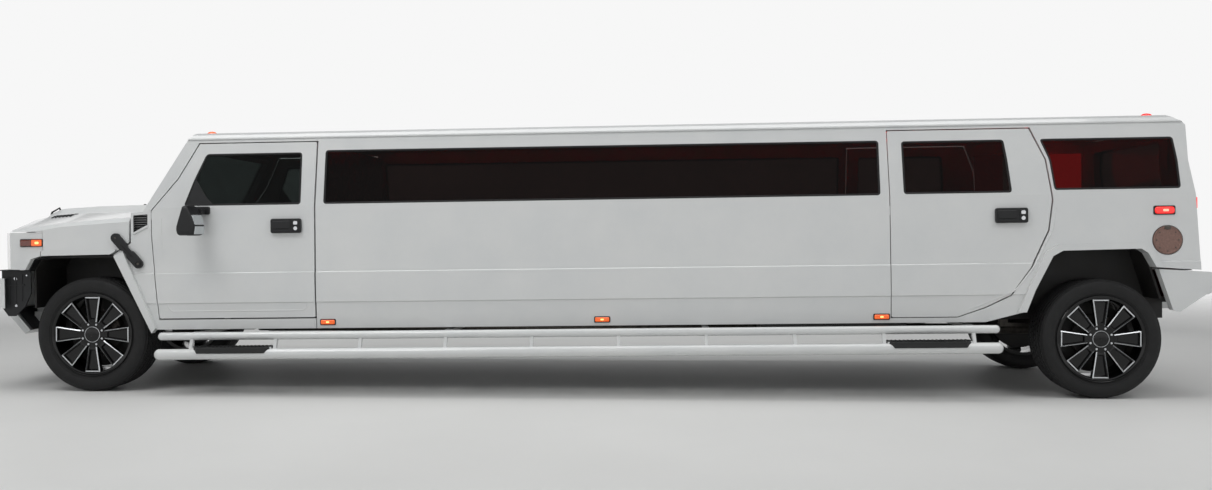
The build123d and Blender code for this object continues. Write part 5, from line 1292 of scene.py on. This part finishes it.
def stuffed(length, width, height, swell=24, grid=15):
    """Cushion of a size, as a shape: a smaller block is remeshed and blown up as cloth under pressure."""
    # The block starts smaller, because the cloth bulges by about half of the swell
    half = [size / 2 - swell * 0.55 for size in (length, width, height)]
    points, faces = block(-half[0], half[0], -half[1], half[1], -half[2], half[2])
    mesh = bpy.data.meshes.new("cushion")
    mesh.from_pydata([Vector(p) * MM for p in points], [], faces)
    obj = bpy.data.objects.new("cushion", mesh)
    bpy.context.scene.collection.objects.link(obj)
    remesh = obj.modifiers.new("grid", "REMESH")
    remesh.mode = "VOXEL"
    remesh.voxel_size = grid * MM
    ready = bpy.data.meshes.new_from_object(obj.evaluated_get(bpy.context.evaluated_depsgraph_get()))
    obj.modifiers.clear()
    obj.data = ready
    rest = [v.co.copy() for v in ready.vertices]
    cloth = obj.modifiers.new("filling", "CLOTH")
    cloth.settings.use_pressure = True
    cloth.settings.uniform_pressure_force = 4
    cloth.settings.effector_weights.gravity = 0
    cloth.settings.quality = 4
    for frame_number in range(1, 21):
        bpy.context.scene.frame_set(frame_number)
    blown = obj.evaluated_get(bpy.context.evaluated_depsgraph_get())
    filled = [v.co.copy() for v in blown.data.vertices]
    bpy.context.scene.frame_set(1)
    points = []
    for before, after in zip(rest, filled):
        step = after - before
        if step.length > swell * MM:
            step *= swell * MM / step.length
        points.append(tuple((before + step) / MM))
    faces = [tuple(polygon.vertices) for polygon in ready.polygons]
    bpy.data.objects.remove(obj)
    return points, faces


def laid(template, places):
    """Copies of a cushion at several places, as one shape."""
    return merged(*[moved(template, place) for place in places])


FRONT_SEAT_Y = (-400, 400)
BACK_TILT = (15, "Y")
front_seat = stuffed(510, 490, 150)
front_back = stuffed(110, 480, 590)
head_pad = stuffed(90, 270, 160, swell=14, grid=11)
bench_seat = stuffed(640, 410, 160)
bench_back = stuffed(640, 115, 340)
rear_seat = stuffed(450, 600, 160)
rear_back = stuffed(120, 600, 380)
seat_places = [at(FRONT + 1262, y, 982, (-3, "Y")) for y in FRONT_SEAT_Y]
back_places = [at(FRONT + 1552, y, 1325, BACK_TILT) for y in FRONT_SEAT_Y]
head_places = [at(FRONT + 1658, y, 1668, BACK_TILT) for y in FRONT_SEAT_Y]
BENCH_XS = [-1376.5 + 650 * i for i in range(6)]
REAR_SEAT_Y = (-304, 304)
seat_frame = []
for y in FRONT_SEAT_Y:
    seat_frame.append(block(FRONT + 1050, FRONT + 1480, y - 215, y + 215, 686, 850))
    seat_frame.append(block(FRONT + 1020, FRONT + 1520, y - 245, y + 245, 848, 912))
    seat_frame.append(moved(block(30, 62, -232, 232, -320, 300), at(FRONT + 1560, y, 1330, BACK_TILT)))
    for dy in (-60, 60):
        seat_frame.append(moved(block(-6, 6, dy - 6, dy + 6, 270, 330), at(FRONT + 1575, y, 1325, BACK_TILT)))
frames = piece("front_seat_frames", merged(*seat_frame), DASH_VINYL, "car", bevel=8)
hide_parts("seats")
plinths = [
    block(-1700, 2196, 318, 855, 686, 932),
    block(-1700, 2196, 846, 858, 930, 1440),
    block(REAR - 425, REAR + 188, -612, 612, 686, 932),
    block(REAR + 176, REAR + 188, -612, 612, 930, 1480),
]
plinth = piece("bench_plinths", merged(*plinths), DASH_VINYL, "car", bevel=6)
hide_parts("seats")
CUSHIONS = (
    # name, cushion, places, length, width and height of its piping, filling
    ("front_seat_cushions", front_seat, seat_places, (450, 430, 62), 0.7),
    ("front_back_cushions", front_back, back_places, None, 0.7),
    ("headrests", head_pad, head_places, None, 0.85),
    ("bench_cushions", bench_seat, [at(x, 512, 1014) for x in BENCH_XS], (590, 360, 66), 0.7),
    ("bench_back_cushions", bench_back, [at(x, 782, 1275) for x in BENCH_XS], None, 0.65),
    ("rear_bench_cushions", rear_seat, [at(REAR - 196, y, 1014) for y in REAR_SEAT_Y], (400, 550, 66), 0.7),
    ("rear_back_cushions", rear_back, [at(REAR + 112, y, 1290) for y in REAR_SEAT_Y], None, 0.65),
)
for name, cushion, places, edge, fill in CUSHIONS:
    pad = piece(name, laid(cushion, places), BLACK_LEATHER, "car", sharp=80)
    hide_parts("seats")
    if edge:
        length, width, lift = edge
        line = [Vector((x, y, lift)) for x, y in oblong(0, 0, length, width, 60)]
        lines = [[tuple(place @ point) for point in line] for place in places]
        bead(name + "_piping", lines, 5, PALE_LEATHER, "car")

# Cabin: carpet, headliner, red light strips and panels
carpet = block(FRONT + 800, REAR + 590, -640, 300, 680.5, 687)
piece("carpet", carpet, CARPET, "car", bevel=2)
piece("headliner", block(FRONT + 900, REAR + 520, -600, 600, 2028, 2036), HEADLINER, "car", bevel=3)
strips = [[(x, y, 2022) for x in (-1960, REAR + 480)] for y in (-560, 560)]
bead("ceiling_light_strips", strips, 9, RED_STRIP, "car", cyclic=False)
quarter_panel = block(REAR + 30, REAR + 520, 690, 694, 1520, 1880)
piece("rear_light_panel", quarter_panel, RED_PANEL, "car", bevel=1)
door_panel = block(REAR - 420, REAR - 170, 690, 694, 1500, 1880)
piece("rear_door_light_panel", door_panel, RED_DIM, "car", bevel=1)

# Dashboard: instrument cowl, dials, centre stack, vents and the steering wheel's hub
cowl = slab(front_points([(640, 1428), (700, 1478), (792, 1478), (800, 1462), (800, 1428)]), -560, -240)
stack = block(FRONT + 770, FRONT + 796, -150, 150, 1110, 1400)
piece("instrument_cowl", merged(cowl, stack), DASH_VINYL, "car", bevel=8)
big_dial = turned([(0.5, 2), (44, 2), (48, 5), (52, 5), (52, 0)])
knob = turned([(0.5, 2), (20, 2), (22, 4), (24, 4), (24, 0)])
dials = [moved(big_dial, at(FRONT + 782, y, 1400, (90, "Y"))) for y in (-460, -340)]
dials += [moved(knob, at(FRONT + 797, y, 1160, (90, "Y"))) for y in (-80, 0, 80)]
piece("dials", merged(*dials), GLOSS_BLACK, "car")
vents = [block(FRONT + 795, FRONT + 799, -100, 100, 1220, 1330)]
for y in (-78, 78):
    for i in range(5):
        vents.append(block(FRONT + 795, FRONT + 799, y - 60, y + 60, 1350 + i * 9, 1354 + i * 9))
piece("centre_vents_and_screen", merged(*vents), GLOSS_BLACK, "car")
WHEEL_TURN = at(FRONT + 980, -400, 1270, (64, "Y"))
hub = [moved(turned([(0.5, 16), (40, 14), (58, 6), (60, -8), (44, -26), (0.5, -26)]), WHEEL_TURN)]
for degrees in (90, 270, 180):
    hub.append(moved(block(40, 190, -14, 14, -6, 4), WHEEL_TURN @ at(0, 0, 0, (degrees, "Z"))))
piece("steering_wheel_hub", merged(*hub), DASH_VINYL, "car", bevel=3)

# Lounge cabinet: stone top, door seams, knobs, ice buckets, decanter and tumblers
CABINET_TOP_Z = 1176
# What stands on the cabinet is set half a millimetre off its top
STAND_Z = CABINET_TOP_Z + 0.5
SEAM_XS = [-1900 + 310 * i for i in range(10)]
piece("cabinet_top", block(-2003, 1200, -862, -526, 1160, CABINET_TOP_Z), GLOSS_BLACK, "car", bevel=3)
seams = [[(x, -529, 700), (x, -529, 1140)] for x in SEAM_XS]
bead("cabinet_door_seams", seams, 2.5, SEAL_RUBBER, "car", cyclic=False)
knobs = [disc(x + 24, 920, -530, -516, 9, 16) for x in SEAM_XS]
piece("cabinet_knobs", merged(*knobs), CHROME, "car", bevel=1)
tumbler = turned([(26, 0), (31, 86), (28.5, 86), (24, 8), (0.5, 8)])
decanter = turned([(46, 0), (52, 90), (40, 150), (16, 178), (15, 230), (20, 238)])
glasses = []
for x in (-900, -820, -740, 300, 380, 460):
    for y in (-740, -660):
        glasses.append(moved(tumbler, at(x, y, STAND_Z)))
glasses.append(moved(decanter, at(-600, -700, STAND_Z)))
piece("glassware", merged(*glasses), LAMP_GLASS, "car")
bucket = turned([(0.5, 0), (72, 0), (88, 150), (93, 154), (92, 158), (84, 156), (69, 6), (0.5, 6)], 40)
buckets = [moved(bucket, at(x, -700, STAND_Z)) for x in (-300, 800)]
piece("ice_buckets", merged(*buckets), CHROME, "car")

# Black liners behind the nose's corners and the skid plate
CORNER_EDGE = [(-744, 1007), (-503, 1000), (-452, 1086), (-380, 1106)]
corner_liner = front_points(CORNER_EDGE + [(x + 7, z - 7) for x, z in reversed(CORNER_EDGE)])
skid_liner = front_points([(-715, 503), (-860, 676), (-853, 683), (-706, 508)])
liners = merged(both(slab(corner_liner, -979, -870)), slab(skid_liner, -606, 606))
piece("nose_liners", liners, BLACK_PLASTIC, "car")

# Door trims: a vinyl card inside each side door, with an armrest, a pocket, a speaker and a lever
FRONT_CARD = front_points([(618, 700), (600, 1240), (640, 1436), (1700, 1436), (1700, 700)])
REAR_CARD = rear_points(
    [
        (-1450, 650),
        (-1450, 1436),
        (-430, 1436),
        (-455, 1225),
        (-585, 960),
        (-715, 800),
        (-890, 700),
        (-1060, 650),
    ]
)
CARDS = (
    # name, outline, radius of its corners, middle of the armrest, bodies
    ("front_door_card", FRONT_CARD, 60, FRONT + 1240, FRONT_DOORS),
    ("rear_door_card", REAR_CARD, 50, REAR - 1000, REAR_DOORS),
)
# A card's outer face, measured outwards from the body's side, and the heights of its speaker and lever
INSIDE = -71
SPEAKER_Z = 1000
LEVER_Z = 1270
for name, corners, radius, x, bodies in CARDS:
    outline = rounded(corners, radius, 5)
    rest = oblong(x, 1190, 620, 66, 26)
    pocket = oblong(x - 20, 830, 480, 150, 30)
    speaker_x = x - 350
    for side, label in SIDES:
        body = bodies[side]
        card = skinned([on_side(outline, side, INSIDE), on_side(grown(outline, -4), side, INSIDE - 12)])
        armrest = skinned(
            [
                on_side(rest, side, INSIDE - 8),
                on_side(rest, side, INSIDE - 40),
                on_side(grown(rest, -14), side, INSIDE - 52),
            ]
        )
        bin_front = skinned(
            [on_side(pocket, side, INSIDE - 8), on_side(grown(pocket, -6), side, INSIDE - 34)]
        )
        speaker_y = side * (side_hw(SPEAKER_Z) + INSIDE - 14)
        speaker = disc(speaker_x, SPEAKER_Z, speaker_y - 5, speaker_y + 5, 74, 36)
        ring_y = side * (side_hw(SPEAKER_Z) + INSIDE - 20)
        rings = [standing(circle(speaker_x, SPEAKER_Z, r), ring_y) for r in (24, 46, 68)]
        piece(f"{name}_{label}", merged(card, armrest, bin_front), DASH_VINYL, body, bevel=3)
        piece(f"{name}_speaker_{label}", speaker, BLACK_PLASTIC, body, bevel=2)
        bead(f"{name}_speaker_rings_{label}", rings, 2, CHROME, body)
        lever_y = side * (side_hw(LEVER_Z) + INSIDE - 18)
        lever = block(x - 286, x - 194, lever_y - 7, lever_y + 7, LEVER_Z - 9, LEVER_Z + 9)
        piece(f"{name}_lever_{label}", lever, CHROME, body, bevel=4)
